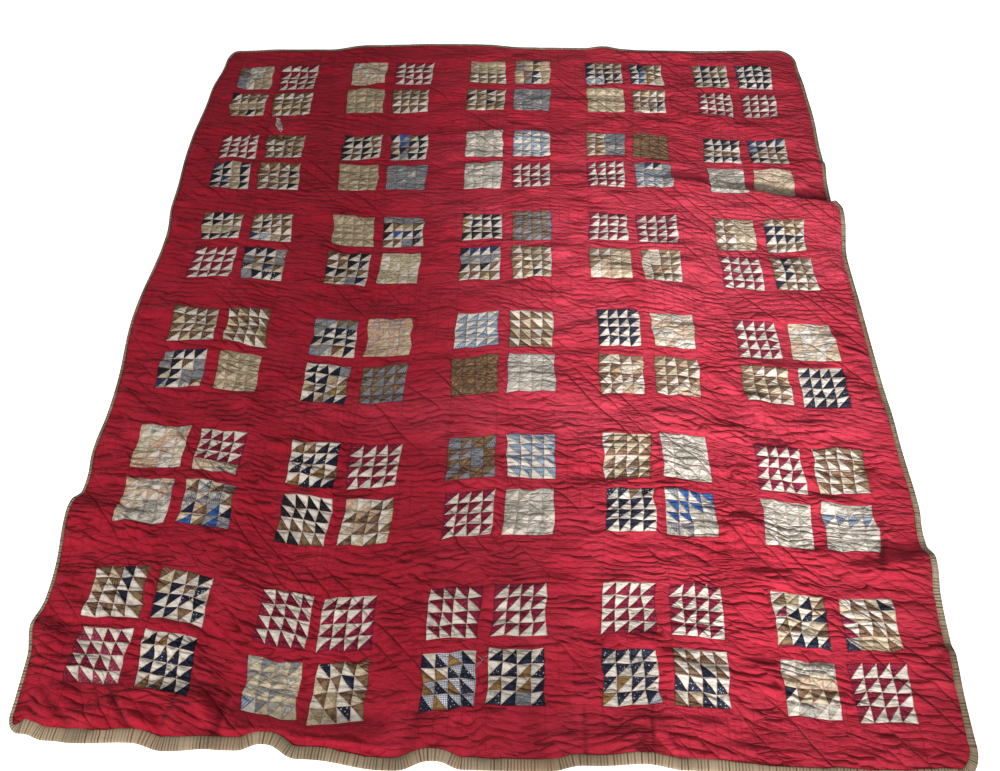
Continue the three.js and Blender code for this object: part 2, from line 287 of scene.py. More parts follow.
# Each block's four units, "|" between them, from its head left to its foot right, row by row from the
# head. A unit gives its scraps, with "/" between rows of it and "+" between columns. The light triangles
# fill each square's corner at the foot right, unless the unit says foot left (fl), head left or head right.
BLOCKS = [
    [
        "muddy+drab+drab+tan/haze+drab+tan+tan | maroon | "
        "navy+brown+brown+brown/brown/tan/brown+brown+navy+brown | brown",
        "pale | maroon | tan | brown",
        "tan/brown | muddy+tan+scraps+pale/tan+muddy+navy+tan | dusk | haze",
        "scraps/scraps/navy/sky+sky+navy+navy | navy+royal+brown+plaid | tan | "
        "brown/brown/plaid+plaid+brown+navy/plaid+plaid+brown+cobalt",
        "dusk | navy | maroon | maroon",
    ],
    [
        "maroon | walnut+brown/brown/brown/brown | indigo+indigo+tan+indigo | brown+dusk",
        "ink | scraps+royal+scraps+navy | tan | haze",
        "sage | sky | grey | maroon",
        "brown+haze | walnut | maroon | haze+indigo+navy+haze/haze/sky+sky+haze/sky+sky+haze",
        "navy/dusk/navy | indigo/royal+scraps/scraps+brown/navy+brown | sage | peach",
    ],
    [
        "dusk/dusk/tan/navy | brown/dusk/brown/indigo+sky+tan+brown | maroon | "
        "indigo+navy+navy+haze/haze+ochre+scraps+haze/navy+tan+indigo+royal/haze+navy+navy+navy",
        "tan | haze/dusk+brown+tan+brown/dusk+cobalt+indigo+sprig/brown+brown+haze+sprig | "
        "brown+brown+ink+ink/brown+brown+ink+navy/indigo+ink+brown+brown/brown+ink+haze+indigo | straw",
        "ink+ochre+ink+navy/ochre+ochre+ink+ink/ochre+ink+ink+ink/ink | muddy | "
        "indigo/haze/ink+brown+ink+brown/ink+brown+brown+ink | brown/brown/brown/brown+brown+navy+brown",
        "maroon | maroon | plaid+tan | plaid+brown",
        "brown+tan | brown/navy+brown/navy/brown | maroon | dusk+brown",
    ],
    [
        "brown | brown fl | "
        "haze+navy+indigo+navy/haze+ink+brown+haze/dusk+navy+haze+haze/indigo+navy+haze+brown | tan",
        "haze+cobalt+muddy+muddy/haze+navy+navy+navy/dusk+navy+indigo+navy/haze+haze+brown+navy | rust | "
        "navy+navy+navy+haze/navy+navy+tan+brown/brown+navy+ochre+brown/ink+brown+indigo+navy hl | muddy",
        "sky hl | brown hr | walnut | drab",
        "navy | pale | plaid | brown+plaid",
        "maroon | pale | brown | navy hl",
    ],
    [
        "pale | maroon/maroon/maroon/pale hl | faint | royal/royal/indigo+plaid+royal+indigo/royal hl",
        "brown+brown+ink+navy/navy+navy+navy+navy/navy+navy+ochre+brown/ochre+ochre+ochre+navy hl | "
        "maroon | ink hr | plaid hl",
        "umber | sky fl | maroon | grey",
        "brown hl | sage | scraps/navy/navy/navy | "
        "cobalt/cobalt/cobalt+cobalt+grey+grey/cobalt+cobalt+grey+grey fl",
        "maroon | brown fl | grey | grey/sky/grey/grey",
    ],
    [
        "brown+brown+indigo+brown/brown+brown+navy+brown/brown+brown+navy+plaid/brown fl | "
        "brown+brown+brown+ink/dusk+navy+brown+navy/navy/navy+navy+brown+navy | rose hr | "
        "ink+ochre+navy+navy/navy+ochre/navy/ochre+ink+navy+navy hl",
        "maroon hr | maroon hl | print/print/print/sky+print+print+print | "
        "navy+brown+dusk+brown/brown+brown+navy+brown/brown+tan+brown+brown/tan+brown+navy+brown fl",
        "maroon fl | maroon | check hr | "
        "navy+navy+navy+navy/navy+navy+ochre+navy/ochre+ochre+ochre+navy/sprig+ochre+haze+navy hl",
        "maroon hl | maroon | "
        "sprig+sprig+sprig+sprig/navy+sprig+ochre+check/sprig+ochre+sprig+sprig/check+navy+sprig+check | "
        "brown/brown+brown+navy+brown/navy/brown+brown+sprig+sprig hr",
        "brown+tan+navy+brown/rose+navy+navy+scraps/brown+brown+plaid+brown/brown+navy+navy+navy hl | "
        "plaid+plaid+brown+navy/rose+plaid+plaid+brown/rose+brown+plaid+brown/sprig+tan+tan+brown hr | "
        "grey/peach/dusk/grey | maroon",
    ],
]
LIGHT_CORNERS = {"fr": (1, -1), "fl": (-1, -1), "hl": (-1, 1), "hr": (1, 1)}


def planned_units():
    """Each unit's place from the foot left, its rows of scraps from the head, and its light corner."""
    for row, blocks in enumerate(BLOCKS):
        for column, block in enumerate(blocks):
            for k, unit in enumerate(block.split("|")):
                scraps, corner = (unit.split() + ["fr"])[:2]
                place = (2 * (ROWS - 1 - row) + (k < 2), 2 * column + k % 2)
                yield place, [line.split("+") for line in scraps.split("/")], LIGHT_CORNERS[corner]


light_corner = np.zeros((*UNITS, 2), int)
for place, _, corner in planned_units():
    light_corner[place] = corner


def plan_place(i, j):
    """Where a place in cells lies on the flat, even plan."""
    x = (i - COLUMNS * CELLS / 2) * CELL_X + PLAN_MIDDLE[0]
    y = (j - ROWS * CELLS / 2) * CELL_Y + PLAN_MIDDLE[1]
    return x, y


def block_and_unit(cell, blocks):
    """Along one direction: the block, which of its two units, and the cells into that unit."""
    block = np.clip(np.floor(cell / CELLS), 0, blocks - 1).astype(int)
    into_block = cell - block * CELLS
    second = (into_block > SECOND_UNIT - SASH / 2).astype(int)
    return block, second, into_block - np.where(second, SECOND_UNIT, FIRST_UNIT)


def units_at(i, j):
    """The unit nearest to each place, by row and column of units, and the cells into it both ways."""
    column, second_x, into_x = block_and_unit(i, COLUMNS)
    row, second_y, into_y = block_and_unit(j, ROWS)
    return (2 * row + second_y, 2 * column + second_x), into_x, into_y


def strayed(i, j):
    """How far the cloth has strayed from the even plan there, from block to block."""
    across = np.clip(i / CELLS - 0.5, 0, COLUMNS - 1)
    along = np.clip(j / CELLS - 0.5, 0, ROWS - 1)
    a, b = np.minimum(across.astype(int), COLUMNS - 2), np.minimum(along.astype(int), ROWS - 2)
    sa, sb = across - a, along - b
    sa, sb = (sa + ease(sa)) / 2, (sb + ease(sb)) / 2
    tables = [np.array(table[::-1]) / 1000 for table in (STRAY_RIGHT, STRAY_HEAD)]
    return [between(lambda row, column: table[row, column], b, a, sb, sa) for table in tables]


SEWN_ASTRAY = 0.0017  # a typical miss at a corner of the small squares
UNIT_ASKEW = 0.0022  # and at a corner of a whole unit
MOST_ASTRAY = 0.005
misses = np.random.default_rng(5).normal(0, SEWN_ASTRAY, (*UNITS, 5, 5, 2))
skews = np.random.default_rng(6).normal(0, UNIT_ASKEW, (*UNITS, 2, 2, 2))
for t in range(5):
    for s in range(5):
        ends = np.array([1 - s / 4, s / 4])
        sides = np.array([1 - t / 4, t / 4])
        misses[:, :, t, s] += np.einsum("rcabk,a,b->rck", skews, sides, ends)
misses = misses.clip(-MOST_ASTRAY, MOST_ASTRAY)


def pieced_astray(i, j):
    """How far the corners of the small squares miss their places; it dies away in the red cloth."""
    unit, into_x, into_y = units_at(i, j)
    s, t = np.clip(into_x / SQUARE, 0, 4), np.clip(into_y / SQUARE, 0, 4)
    a, b = np.minimum(s.astype(int), 3), np.minimum(t.astype(int), 3)
    s, t = (s - a)[:, None], (t - b)[:, None]
    missed = between(lambda row, column: misses[(*unit, row, column)], b, a, t, s)
    outside = np.maximum(np.maximum(-into_x, into_x - UNIT), np.maximum(-into_y, into_y - UNIT))
    fade = 1 - ease(np.clip(outside, 0, None) / (SASH / 2))
    return (missed * fade[:, None]).T


def spread(i, j):
    """Where a place of the pieced top lies on the surface."""
    x, y = plan_place(i, j)
    stray_x, stray_y = strayed(i, j)
    miss_x, miss_y = pieced_astray(i, j)
    return x + stray_x + miss_x, y + stray_y + miss_y


# The quilting -------------------------------------------------------------------------------------
# Top, wadding and backing are held together by running stitches in slanting rows, and the cloth has
# shrunk between them in the wash. So the rows and the seams lie low, with puckers all over, mostly
# across the quilt.

THICKNESS = 0.005
RIM_THICKNESS = 0.0044
LEAST_COVER = 0.0032  # the top never comes nearer to the underside than this
LEAST_HEIGHT = 0.0034  # or to the surface below
QUILTING_SPACING = 0.029
QUILTING_DEPTH = 0.0046
SEAM_DEPTH = 0.0016
SEAM_SOFTNESS = 0.0030
UPRIGHT_SPACING = 0.0255  # between the faint upright rows of quilting
UPRIGHT_DEPTH = 0.0012
PUFF = 0.0030  # how high the wadding stands between the lines
VALLEY = 0.0050  # a valley this deep counts as wholly low
SECOND_VALLEY = 0.45  # how much the second deepest valley at a place adds to the deepest
RED_SEAM_CELLS = 0.25  # a seam between two red pieces counts as this many cells further off
UNDER_BINDING = 0.10  # what is left of a puff there
PRESSED_TO, FREE_WITHIN = 0.7, 0.024  # to this share of the binding's front, and free this far beyond
CREASE_WITHIN = 0.010  # from the binding's inner edge to where a crease is full
# Each set of puckers: how far apart they lie, how much they slant, how deep they are, how much they
# break off at the rows of quilting, and a seed.
PUCKER_SETS = [
    (0.0150, -0.05, 0.0072, 0.8, 11), (0.0225, -0.20, 0.0084, 0.5, 12), (0.0190, 0.22, 0.0070, 0.5, 13),
]
# A drawn-in line falls gently towards the head and rises steeply from it, as a lapped shingle does.
STEEP_SIDE, GENTLE_SIDE = 0.0042, 0.0046

# Single creases left by handling, given as the folds are. A trough has a negative rise.
CREASES = {
    "slanting wrinkle at the foot": (-146, -1058, -101, -927, -6, -2, 12, 30, 30),
    "trough by the middle": (102, -1010, 54, -666, -4, -2, 45, 35, 50),
    "upright crease at the foot": (188, -1035, 186, -958, -8, -6, 5, 8, 20),
    "hook, upright": (314, -945, 310, -1012, -10, -9, 7, 7, 12),
    "hook, deep side": (300, -990, 286, -1024, -7, -11, 12, 14, 12),
    "bulge beside the hook": (330, -996, 345, -1020, 6, 7, 16, 16, 20),
    "below the hook": (300, -1026, 420, -1040, -9, -4, 6, 8, 20),
    "crease beside the hook": (119, -991, 283, -980, -3, -6, 7, 20, 30),
    "right pocket": (815, -612, 792, -668, -10, -6, 12, 20, 20),
    "lower right pocket": (905, -826, 862, -846, -9, -4, 12, 16, 20),
    "hollow by the foot": (-440, -974, -200, -998, -13, -10, 36, 36, 50),
    "lip beside the hollow": (-450, -1013, -160, -1032, 10, 8, 12, 14, 40),
    "edge of the hollow": (-476, -950, -484, -1016, -7, -6, 10, 12, 20),
    "hooked bump": (-520, -960, -506, -996, 7, 8, 26, 24, 20),
    "below the hooked bump": (-548, -1010, -490, -1018, -5, -5, 9, 14, 20),
    "bump one": (-761, -967, -712, -996, 6, 6, 26, 30, 20),
    "bump two": (-662, -962, -604, -1006, 5, 7, 24, 30, 20),
    "outline of bump one": (-826, -946, -756, -1006, -5, -6, 9, 16, 20),
    "outline of bump two": (-700, -944, -648, -1010, -5, -6, 10, 14, 20),
    "outline of bump three": (-572, -944, -590, -1008, -4, -5, 10, 12, 20),
    "pinch above the bumps": (-800, -934, -500, -928, -5, -6, 12, 22, 40),
    "trough above the ledge": (560, 466, 935, 368, -2, -9, 22, 26, 60),
    "notch at the right rim": (835, -112, 905, -135, -4, -9, 12, 16, 20),
    "left pucker": (-902, -260, -530, -359, -4, -2, 16, 30, 50),
    "lower left pucker": (-862, -814, -699, -897, -4, -3, 14, 30, 40),
    "right margin crease": (819, -870, 877, -878, -3, -5, 10, 20, 20),
    "lower right margin crease": (809, -906, 887, -931, -3, -5, 10, 22, 20),
    "foot crease, right": (430, -1005, 640, -985, -4, -2, 10, 24, 50),
    "foot crease, far right": (600, -930, 780, -1000, -3, -4, 10, 22, 50),
}
# The hollow by the foot is stretched smooth. The two rises are the shares of its puckers that are gone, in
# thousandths, and its place is the plan's.
STRETCHED = (-430, -952, -190, -976, 850, 750, 46, 46, 45)


def cells_to_line(cell, spacing):
    """Cells to the nearest of evenly spaced lines."""
    return np.abs(cell - spacing * np.round(cell / spacing))


def seam_distance(i, j):
    """Metres to the nearest seam. Those between two pieces of red cloth lie a little deeper in."""
    unit, into_x, into_y = units_at(i, j)
    in_x, in_y = (into_x >= 0) & (into_x <= UNIT), (into_y >= 0) & (into_y <= UNIT)
    to_grid = np.minimum(cells_to_line(into_x, SQUARE), cells_to_line(into_y, SQUARE))
    right_x, right_y = light_corner[unit].T
    slant = np.where(right_x * right_y < 0, into_x - into_y, into_x + into_y)
    in_unit = np.minimum(to_grid, cells_to_line(slant, SQUARE) / math.sqrt(2))
    edge_x = np.minimum(np.abs(into_x), np.abs(into_x - UNIT))
    edge_y = np.minimum(np.abs(into_y), np.abs(into_y - UNIT))
    to_edge = np.where(in_x, edge_y, np.where(in_y, edge_x, np.hypot(edge_x, edge_y)))
    in_block = (into_x > -SASH) & (into_x < UNIT + SASH)
    red = np.minimum(edge_x, np.where(in_block, edge_y, SQUARE)) + RED_SEAM_CELLS
    return np.where(in_x & in_y, in_unit, np.minimum(to_edge, red)) * (CELL_X + CELL_Y) / 2


LOT = (1.9898, 2.2330, 0.7, 437.5453)  # no meaning of their own: they scatter what draw gives


def draw(first, second=0):
    """A share from 0 to 1 for a whole number, or for two, scattered as if drawn by lot."""
    value = np.sin(LOT[0] * first + LOT[1] * second + LOT[2]) * LOT[3]
    return value - np.floor(value)


def quilting_course(x, y):
    """The rows of quilting that lie below each place, counted across them. They are a little uneven."""
    wander = 0.020 * soft_noise(x, y, 0.26, 0.30, 91) + 0.0040 * soft_noise(x, y, 0.06, 0.06, 95)
    return ((x + y) / math.sqrt(2) + wander) / QUILTING_SPACING


def quilting_strength(x, y):
    """How hard the rows of quilting draw the cloth in there, from 0 to 1."""
    zone = 0.10 + 0.60 * ease((x + 0.1) / 0.5) + 0.45 * ease((-0.3 - x) / 0.3)
    return 0.16 + 0.56 * ease((soft_noise(x, y, 0.15, 0.09, 92) + zone) / 1.1)


def upright_course(x, y):
    """The upright rows that lie to the left of each place."""
    return (x + 0.004 * soft_noise(x, y, 0.08, 0.30, 93)) / UPRIGHT_SPACING


def upright_strength(x, y):
    """How much of the upright rows is left, from 0 to 1."""
    return ease((soft_noise(x, y, 0.17, 0.09, 94) + 0.40) / 1.0)


def pucker_course(x, y, spacing, slant, seed):
    """The puckers that lie below each place, if none broke off. They waver as they cross the quilt."""
    slow = 0.015 * soft_noise(x, y, 0.21, 0.11, seed) + 0.0062 * soft_noise(x, y, 0.060, 0.034, seed + 20)
    return (y - slant * x + slow + 0.0034 * soft_noise(x, y, 0.024, 0.015, seed + 30)) / spacing


def pucker_strengths(x, y):
    """How deep each set of puckers is there, from 0 to 1: deepest at the foot, and least near the head."""
    zone = 0.44 + 0.12 * ease(x / 0.5) + 0.30 * ease(-y / 0.6) + 0.26 * ease((-0.15 - x) / 0.35)
    which = soft_noise(x, y, 0.105, 0.060, 51) + 0.5 * soft_noise(x, y, 0.040, 0.022, 52)
    which = which + 0.7 * ease((-0.45 - x) / 0.3)
    third = soft_noise(x, y, 0.120, 0.080, 53) + 0.5 * soft_noise(x, y, 0.050, 0.024, 54)
    patchy = 0.45 + 0.55 * ease((soft_noise(x, y, 0.070, 0.014, 55) + 0.50) / 0.9)
    shares = [ease((0.85 - which) / 0.7), ease((which + 0.20) / 0.6), ease((third + 0.05) / 0.6)]
    return np.clip(zone, 0, 1.1) * (1 - fold_height(x, y, STRETCHED)) * patchy * np.array(shares)


def shifted_puckers(course, breaks, quilting):
    """The puckers below each place once they have broken off, and the row of quilting they lie between."""
    row = np.floor(quilting)
    across = 2 * (quilting - row) - 1
    slant, sag = 0.6 * (draw(row, 2) - 0.5), 0.22 * draw(row, 3)
    return course + breaks * (0.7 * draw(row, 1) + slant * across - sag * across**2), row


def row_share(row):
    """How hard one row of quilting is pulled beside the others."""
    return 0.15 + 0.85 * draw(row, 4) ** 2


def crease_share(number, row):
    """How deep one pucker's crease is beside the others: some are hardly there."""
    return 0.30 + 0.70 * draw(number, row)


def drawn_in(course, spacing, strength, next_strength):
    """How low the cloth lies between two drawn-in lines, from 0 to 1."""
    above = (course - np.floor(course)) * spacing
    from_line = strength * np.exp(-above / STEEP_SIDE)
    return np.maximum(from_line, next_strength * np.exp((above - spacing) / GENTLE_SIDE))


def relief(x, y, seams):
    """The puffs and valleys of the quilted cloth about the sheet's own height, and how low each place is."""
    quilting, upright = quilting_course(x, y), upright_course(x, y)
    row = np.floor(quilting)
    valleys = [
        QUILTING_DEPTH * quilting_strength(x, y)
        * drawn_in(quilting, QUILTING_SPACING, row_share(row), row_share(row + 1)),
        SEAM_DEPTH * np.exp(-seams / SEAM_SOFTNESS),
        UPRIGHT_DEPTH * upright_strength(x, y) * drawn_in(upright, UPRIGHT_SPACING, 1, 1),
    ]
    for (spacing, slant, depth, breaks, seed), strength in zip(PUCKER_SETS, pucker_strengths(x, y)):
        puckers, row = shifted_puckers(pucker_course(x, y, spacing, slant, seed), breaks, quilting)
        number = np.floor(puckers)
        creased = drawn_in(puckers, spacing, crease_share(number, row), crease_share(number + 1, row))
        valleys.append(depth * strength * creased)
    second, deepest = np.sort(valleys, axis=0)[-2:]
    below = deepest + SECOND_VALLEY * second
    swell = 0.0018 * soft_noise(x, y, 0.31, 0.26, 71) + 0.0056 * soft_noise(x, y, 0.11, 0.060, 72)
    lumpy = 1 + 0.5 * ease(-y / 0.6) + 0.3 * ease((-0.2 - x) / 0.4)
    swell = swell + 0.0047 * lumpy * soft_noise(x, y, 0.056, 0.030, 73)
    return PUFF + swell - below, np.clip(below / VALLEY, 0, 1)


def top_height(x, y, puffs, creases, depth, into, front):
    """The height of the pieced top. Its puffs are pressed flat under the binding."""
    free = ease((depth - PRESSED_TO * front) / FREE_WITHIN)
    body = RIM_THICKNESS + (THICKNESS - RIM_THICKNESS) * free
    puffed = puffs * (UNDER_BINDING + (1 - UNDER_BINDING) * free)
    cover = body + (puffed + creases * ease((depth - front) / CREASE_WITHIN))
    return np.maximum(underside(x, y, depth, into) + np.maximum(cover, LEAST_COVER), LEAST_HEIGHT)


# The cottons --------------------------------------------------------------------------------------
# All are plain-woven cottons, washed often: matt and a little faded on the puffs, with shade painted darker
# in the valleys, seams and drawn-in lines. The scraps are dress prints with sprigs, stripes, checks or
# mottling.


def dyed(red, green, blue):
    """A colour from its usual 0 to 255 values, as light."""
    values = [value / 255 for value in (red, green, blue)]
    linear = [v / 12.92 if v <= 0.04045 else ((v + 0.055) / 1.055) ** 2.4 for v in values]
    return (*linear, 1.0)


class Flow:
    """A value on its way through a material. Plain sums on it become nodes of the material."""

    def __init__(self, socket):
        self.socket, self.tree = socket, socket.id_data

    def sum(self, operation, *others):
        """The result of any of the sums that a material knows."""
        return put(self.tree, "ShaderNodeMath", dict(enumerate((self, *others))), operation=operation)

    def __add__(self, other):
        return self.sum("ADD", other)

    def __sub__(self, other):
        return self.sum("SUBTRACT", other)

    def __mul__(self, other):
        return self.sum("MULTIPLY", other)

    def __rsub__(self, other):
        return self.sum("MULTIPLY_ADD", -1.0, other)

    def times_plus(self, factor, more):
        """Times a factor, and then more added."""
        return self.sum("MULTIPLY_ADD", factor, more)

    def fraction(self):
        return self.sum("FRACT")

    def floor(self):
        return self.sum("FLOOR")

    def most(self, other):
        """The larger of the two."""
        return self.sum("MAXIMUM", other)

    def at_most(self, limit):
        return self.sum("MINIMUM", limit)

    def off_middle(self):
        """How far its fraction is from one half."""
        return (self.fraction() - 0.5).sum("ABSOLUTE")


def put(tree, kind, links, output=0, **settings):
    """Puts a node into a tree, with its settings, and its inputs linked or set; gives one output."""
    node = tree.nodes.new(kind)
    for name, value in settings.items():
        setattr(node, name, value)
    for name, value in links.items():
        if isinstance(value, Flow):
            tree.links.new(value.socket, node.inputs[name])
        else:
            node.inputs[name].default_value = value
    return Flow(node.outputs[output])


def all_of(flow):
    """Everything that the node behind a value gives."""
    return [Flow(output) for output in flow.socket.node.outputs]


def parts_of(vector):
    """The three numbers of a vector."""
    return all_of(put(vector.tree, "ShaderNodeSeparateXYZ", {0: vector}))


def vector_sum(vector, operation, other, output=0):
    """The result of a sum on vectors."""
    return put(vector.tree, "ShaderNodeVectorMath", {0: vector, 1: other}, output, operation=operation)


def joined(first, second, third):
    """A vector or a colour from three numbers."""
    return put(first.tree, "ShaderNodeCombineXYZ", {0: first, 1: second, 2: third})


def noise(place, scale, detail, **more):
    """Soft blotches, from 0 to 1."""
    links = {"Vector": place, "Scale": scale, "Detail": detail} | more
    return put(place.tree, "ShaderNodeTexNoise", links, "Fac")


def wave(place, scale, direction="X", **more):
    """Soft bands, from 0 to 1, that follow one another in a direction."""
    links = {"Vector": place, "Scale": scale} | more
    return put(place.tree, "ShaderNodeTexWave", links, "Fac", bands_direction=direction)


def soft_step(value, low, high):
    """0 below one value and 1 above another, smooth between."""
    links = {"Value": value, "From Min": low, "From Max": high}
    return put(value.tree, "ShaderNodeMapRange", links, interpolation_type="SMOOTHSTEP")


def mixed(share, first, second):
    """Two colours mixed."""
    return put(share.tree, "ShaderNodeMix", {0: share, 6: first, 7: second}, 2, data_type="RGBA")


def shaded(colour, shade):
    """A colour darkened by another."""
    links = {0: 1.0, 6: colour, 7: shade}
    return put(colour.tree, "ShaderNodeMix", links, 2, data_type="RGBA", blend_type="MULTIPLY")


def raised(height, strength=1.0, distance=0.001):
    """A height as a normal. It is in millimetres, unless the distance says otherwise."""
    links = {"Strength": strength, "Distance": distance, "Height": height}
    return put(height.tree, "ShaderNodeBump", links)


def value_of(tree, name, output="Fac"):
    """A value that the mesh keeps."""
    return put(tree, "ShaderNodeAttribute", {}, output, attribute_name=name)


def plan_of(tree):
    """The flat cloth's own measure."""
    return put(tree, "ShaderNodeUVMap", {}, uv_map="plan")


def new_group(name, inputs, outputs):
    """An empty shader node group with named sockets, and its inner inputs by name and output node."""
    group = bpy.data.node_groups.new(name, "ShaderNodeTree")
    for socket, kind, value in inputs:
        group.interface.new_socket(socket, in_out="INPUT", socket_type=kind).default_value = value
    for socket, kind in outputs:
        group.interface.new_socket(socket, in_out="OUTPUT", socket_type=kind)
    given = group.nodes.new("NodeGroupInput").outputs
    return group, {socket: Flow(given[socket]) for socket, _, _ in inputs}


def give_out(group, **values):
    """Links a group's results to its outputs."""
    out = group.nodes.new("NodeGroupOutput")
    for name, value in values.items():
        group.links.new(value.socket, out.inputs[name])


def new_material(name, **values):
    """A new material, with some of its surface's values set."""
    material = bpy.data.materials.new(name)
    material.use_nodes = True
    surface = material.node_tree.nodes["Principled BSDF"]
    for value_name, value in values.items():
        surface.inputs[value_name].default_value = value
    return material


def surfaced(material, colour, roughness, normal):
    """A material whose surface takes its colour, roughness and normal from its own nodes."""
    tree = material.node_tree
    for name, value in (("Base Color", colour), ("Roughness", roughness), ("Normal", normal)):
        tree.links.new(value.socket, tree.nodes["Principled BSDF"].inputs[name])
    return material


def drawn_share(first, second):
    """The same share as draw gives, in a material."""
    by_second = put(first.tree, "ShaderNodeMath", {0: second, 1: LOT[1], 2: LOT[2]}, operation="MULTIPLY_ADD")
    return (first.times_plus(LOT[0], by_second).sum("SINE") * LOT[3]).fraction()


def line_distances(course, spacing):
    """Metres up from the drawn-in line below, and up to the one above."""
    above = course.fraction() * spacing
    return above, spacing - above


def lapped(distances, reaches, strengths):
    """What lies near the line below or the line above, falling away within a reach from each."""
    near = [soft_step(*each[:2], 0.0) * each[2] for each in zip(distances, reaches, strengths)]
    return near[0].most(near[1])


def sewn_lines_group():
    """Where the cloth is drawn into a sharp line: seams, rows of quilting, and the folds of puckers."""
    group, _ = new_group("sewn lines", [], [
        ("Line", "NodeSocketFloat"), ("Hollow", "NodeSocketFloat"), ("Stitch", "NodeSocketFloat")
    ])
    quilting, quilted = value_of(group, "quilting"), value_of(group, "quilted")
    row = quilting.floor()
    across = quilting.fraction().times_plus(2.0, -1.0)
    slant = drawn_share(row, 2.0).times_plus(0.6, -0.3)
    sag = drawn_share(row, 3.0) * 0.22
    shift = drawn_share(row, 1.0).times_plus(0.7, slant * across) - sag * (across * across)
    to_rows = line_distances(quilting, QUILTING_SPACING)
    to_uprights = line_distances(value_of(group, "uprights"), UPRIGHT_SPACING)
    chances = [drawn_share(this, 4.0) for this in (row, row + 1.0)]
    pulled = [chance.sum("POWER", 2.0).times_plus(0.85, 0.15) * quilted for chance in chances]
    sewn = [(pull * 1.9).at_most(1.0) for pull in pulled]
    upright = value_of(group, "upright") * 0.60
    line = soft_step(value_of(group, "seam"), 0.0018, 0.0) * 0.80
    line = line.most(lapped(to_rows, (0.0014, 0.0030), sewn))
    line = line.most(lapped(to_uprights, (0.0012, 0.0012), (upright, upright)))
    hollow = lapped(to_rows, (0.0030, 0.0060), pulled)
    courses = parts_of(value_of(group, "puckers", "Vector"))
    depths = parts_of(value_of(group, "puckered", "Vector"))
    for course, depth, (spacing, _, _, breaks, _) in zip(courses, depths, PUCKER_SETS):
        course = shift.times_plus(breaks, course)
        number = course.floor()
        shares = [drawn_share(this, row).times_plus(0.70, 0.30) * depth for this in (number, number + 1.0)]
        to_puckers = line_distances(course, spacing)
        sharp = [(share * 1.8).at_most(1.0) for share in shares]
        line = line.most(lapped(to_puckers, (0.0013, 0.0026), sharp))
        hollow = hollow.most(lapped(to_puckers, (0.0030, 0.0066), shares))
    run = vector_sum(plan_of(group), "DOT_PRODUCT", (177, -177, 0), "Value")
    dash = soft_step(run.off_middle(), 0.28, 0.2)
    give_out(group, Line=line, Hollow=hollow, Stitch=lapped(to_rows, (0.0005, 0.0005), (1.0, 1.0)) * dash)
    return group


def washed_cotton_group(sewn_lines):
    """Washed, faded and puckered cotton: from the cloth's own colour to the colour that shows, with painted
    shade in its valleys and drawn-in lines, and a painted sheen in its fade.
    """
    group, given = new_group(
        "washed cotton",
        [("Colour", "NodeSocketColor", (0.5, 0.5, 0.5, 1)), ("Fade_and_sheen_colour", "NodeSocketColor", (0.7, 0.6, 0.6, 1)),
         ("Line_shade", "NodeSocketFloat", 0.5)],
        [("Colour", "NodeSocketColor"), ("Roughness", "NodeSocketFloat"), ("Normal", "NodeSocketVector")],
    )
    plan = plan_of(group)
    sewn_line, sewn_hollow, stitch = all_of(put(group, "ShaderNodeGroup", {}, node_tree=sewn_lines))
    low, fade, tone = (value_of(group, name) for name in ("valley", "fade", "tone"))
    blotch = noise(plan, 9.0, 5.0)
    slub = noise(plan, 420.0, 2.0)
    stretched = vector_sum(plan, "MULTIPLY", (0.4, 1.0, 1.0))
    # Puffs rub paler and the whole cloth fades where light fell on it; towards the right, away from the foot,
    # the fade is partly a painted sheen.
    wear_fade_and_sheen = soft_step(blotch, 0.40, 0.75).times_plus(0.12, fade)
    colour = mixed(wear_fade_and_sheen, given["Colour"], given["Fade_and_sheen_colour"])
    streaks = noise(stretched, 210.0, 3.0)
    # Painted shade: the colour is darkened in the drawn-in lines and seams, and where the cloth lies low in
    # valleys and creases.
    painted_line_shade = sewn_line * given["Line_shade"]
    light = tone.times_plus(0.22, 0.89) * slub.times_plus(0.14, 0.93) * low.times_plus(-0.30, 1.11)
    light = light * streaks.times_plus(0.56, 0.72) * (1.0 - painted_line_shade)
    # Deep in a fold the painted shade is warmer, as the light there has bounced from cloth to cloth.
    deep = light * painted_line_shade.times_plus(-0.7, 1.0)
    colour = shaded(colour, joined(light, deep, deep))
    colour = mixed(stitch * 0.12, colour, dyed(170, 120, 112))
    # Threads over and under, fine crumples, and the drawn-in lines.
    weave = (wave(plan, 400.0) + wave(plan, 400.0, "Y")) * 0.04
    height = noise(stretched, 120.0, 3.0).times_plus(4.4, weave)
    height = sewn_hollow.times_plus(-2.3, sewn_line.times_plus(-0.8, height))
    give_out(group, Colour=colour, Roughness=slub.times_plus(0.12, 0.84), Normal=raised(height))
    return group


washed_cotton = washed_cotton_group(sewn_lines_group())


def patch_plan(tree):
    """The flat cloth's own measure, shifted from patch to patch so that no two show the same print."""
    turn = value_of(tree, "turn")
    return vector_sum(plan_of(tree), "ADD", joined(turn * 0.9, turn, turn)), turn * 6.283


def sprigged(tree, size, cover):
    """Small scattered figures of two sizes."""
    plan, _ = patch_plan(tree)
    large, small = (
        put(tree, "ShaderNodeTexVoronoi", {"Vector": plan, "Scale": fineness / size}, "Distance")
        for fineness in (1, 2.3)
    )
    figures = soft_step(large, cover + 0.06, cover)
    return figures.most(soft_step(small, 0.55 * cover + 0.05, 0.55 * cover))


def striped(tree, size, cover):
    """Uneven stripes that run another way on each patch."""
    plan, angle = patch_plan(tree)
    turned = put(tree, "ShaderNodeVectorRotate", {"Vector": plan, "Angle": angle}, rotation_type="Z_AXIS")
    bands = wave(turned, 0.32 / size, **{"Distortion": 1.2, "Detail": 2.0, "Detail Scale": 2.0})
    return soft_step(bands, 1 - cover - 0.15, 1 - cover + 0.15)


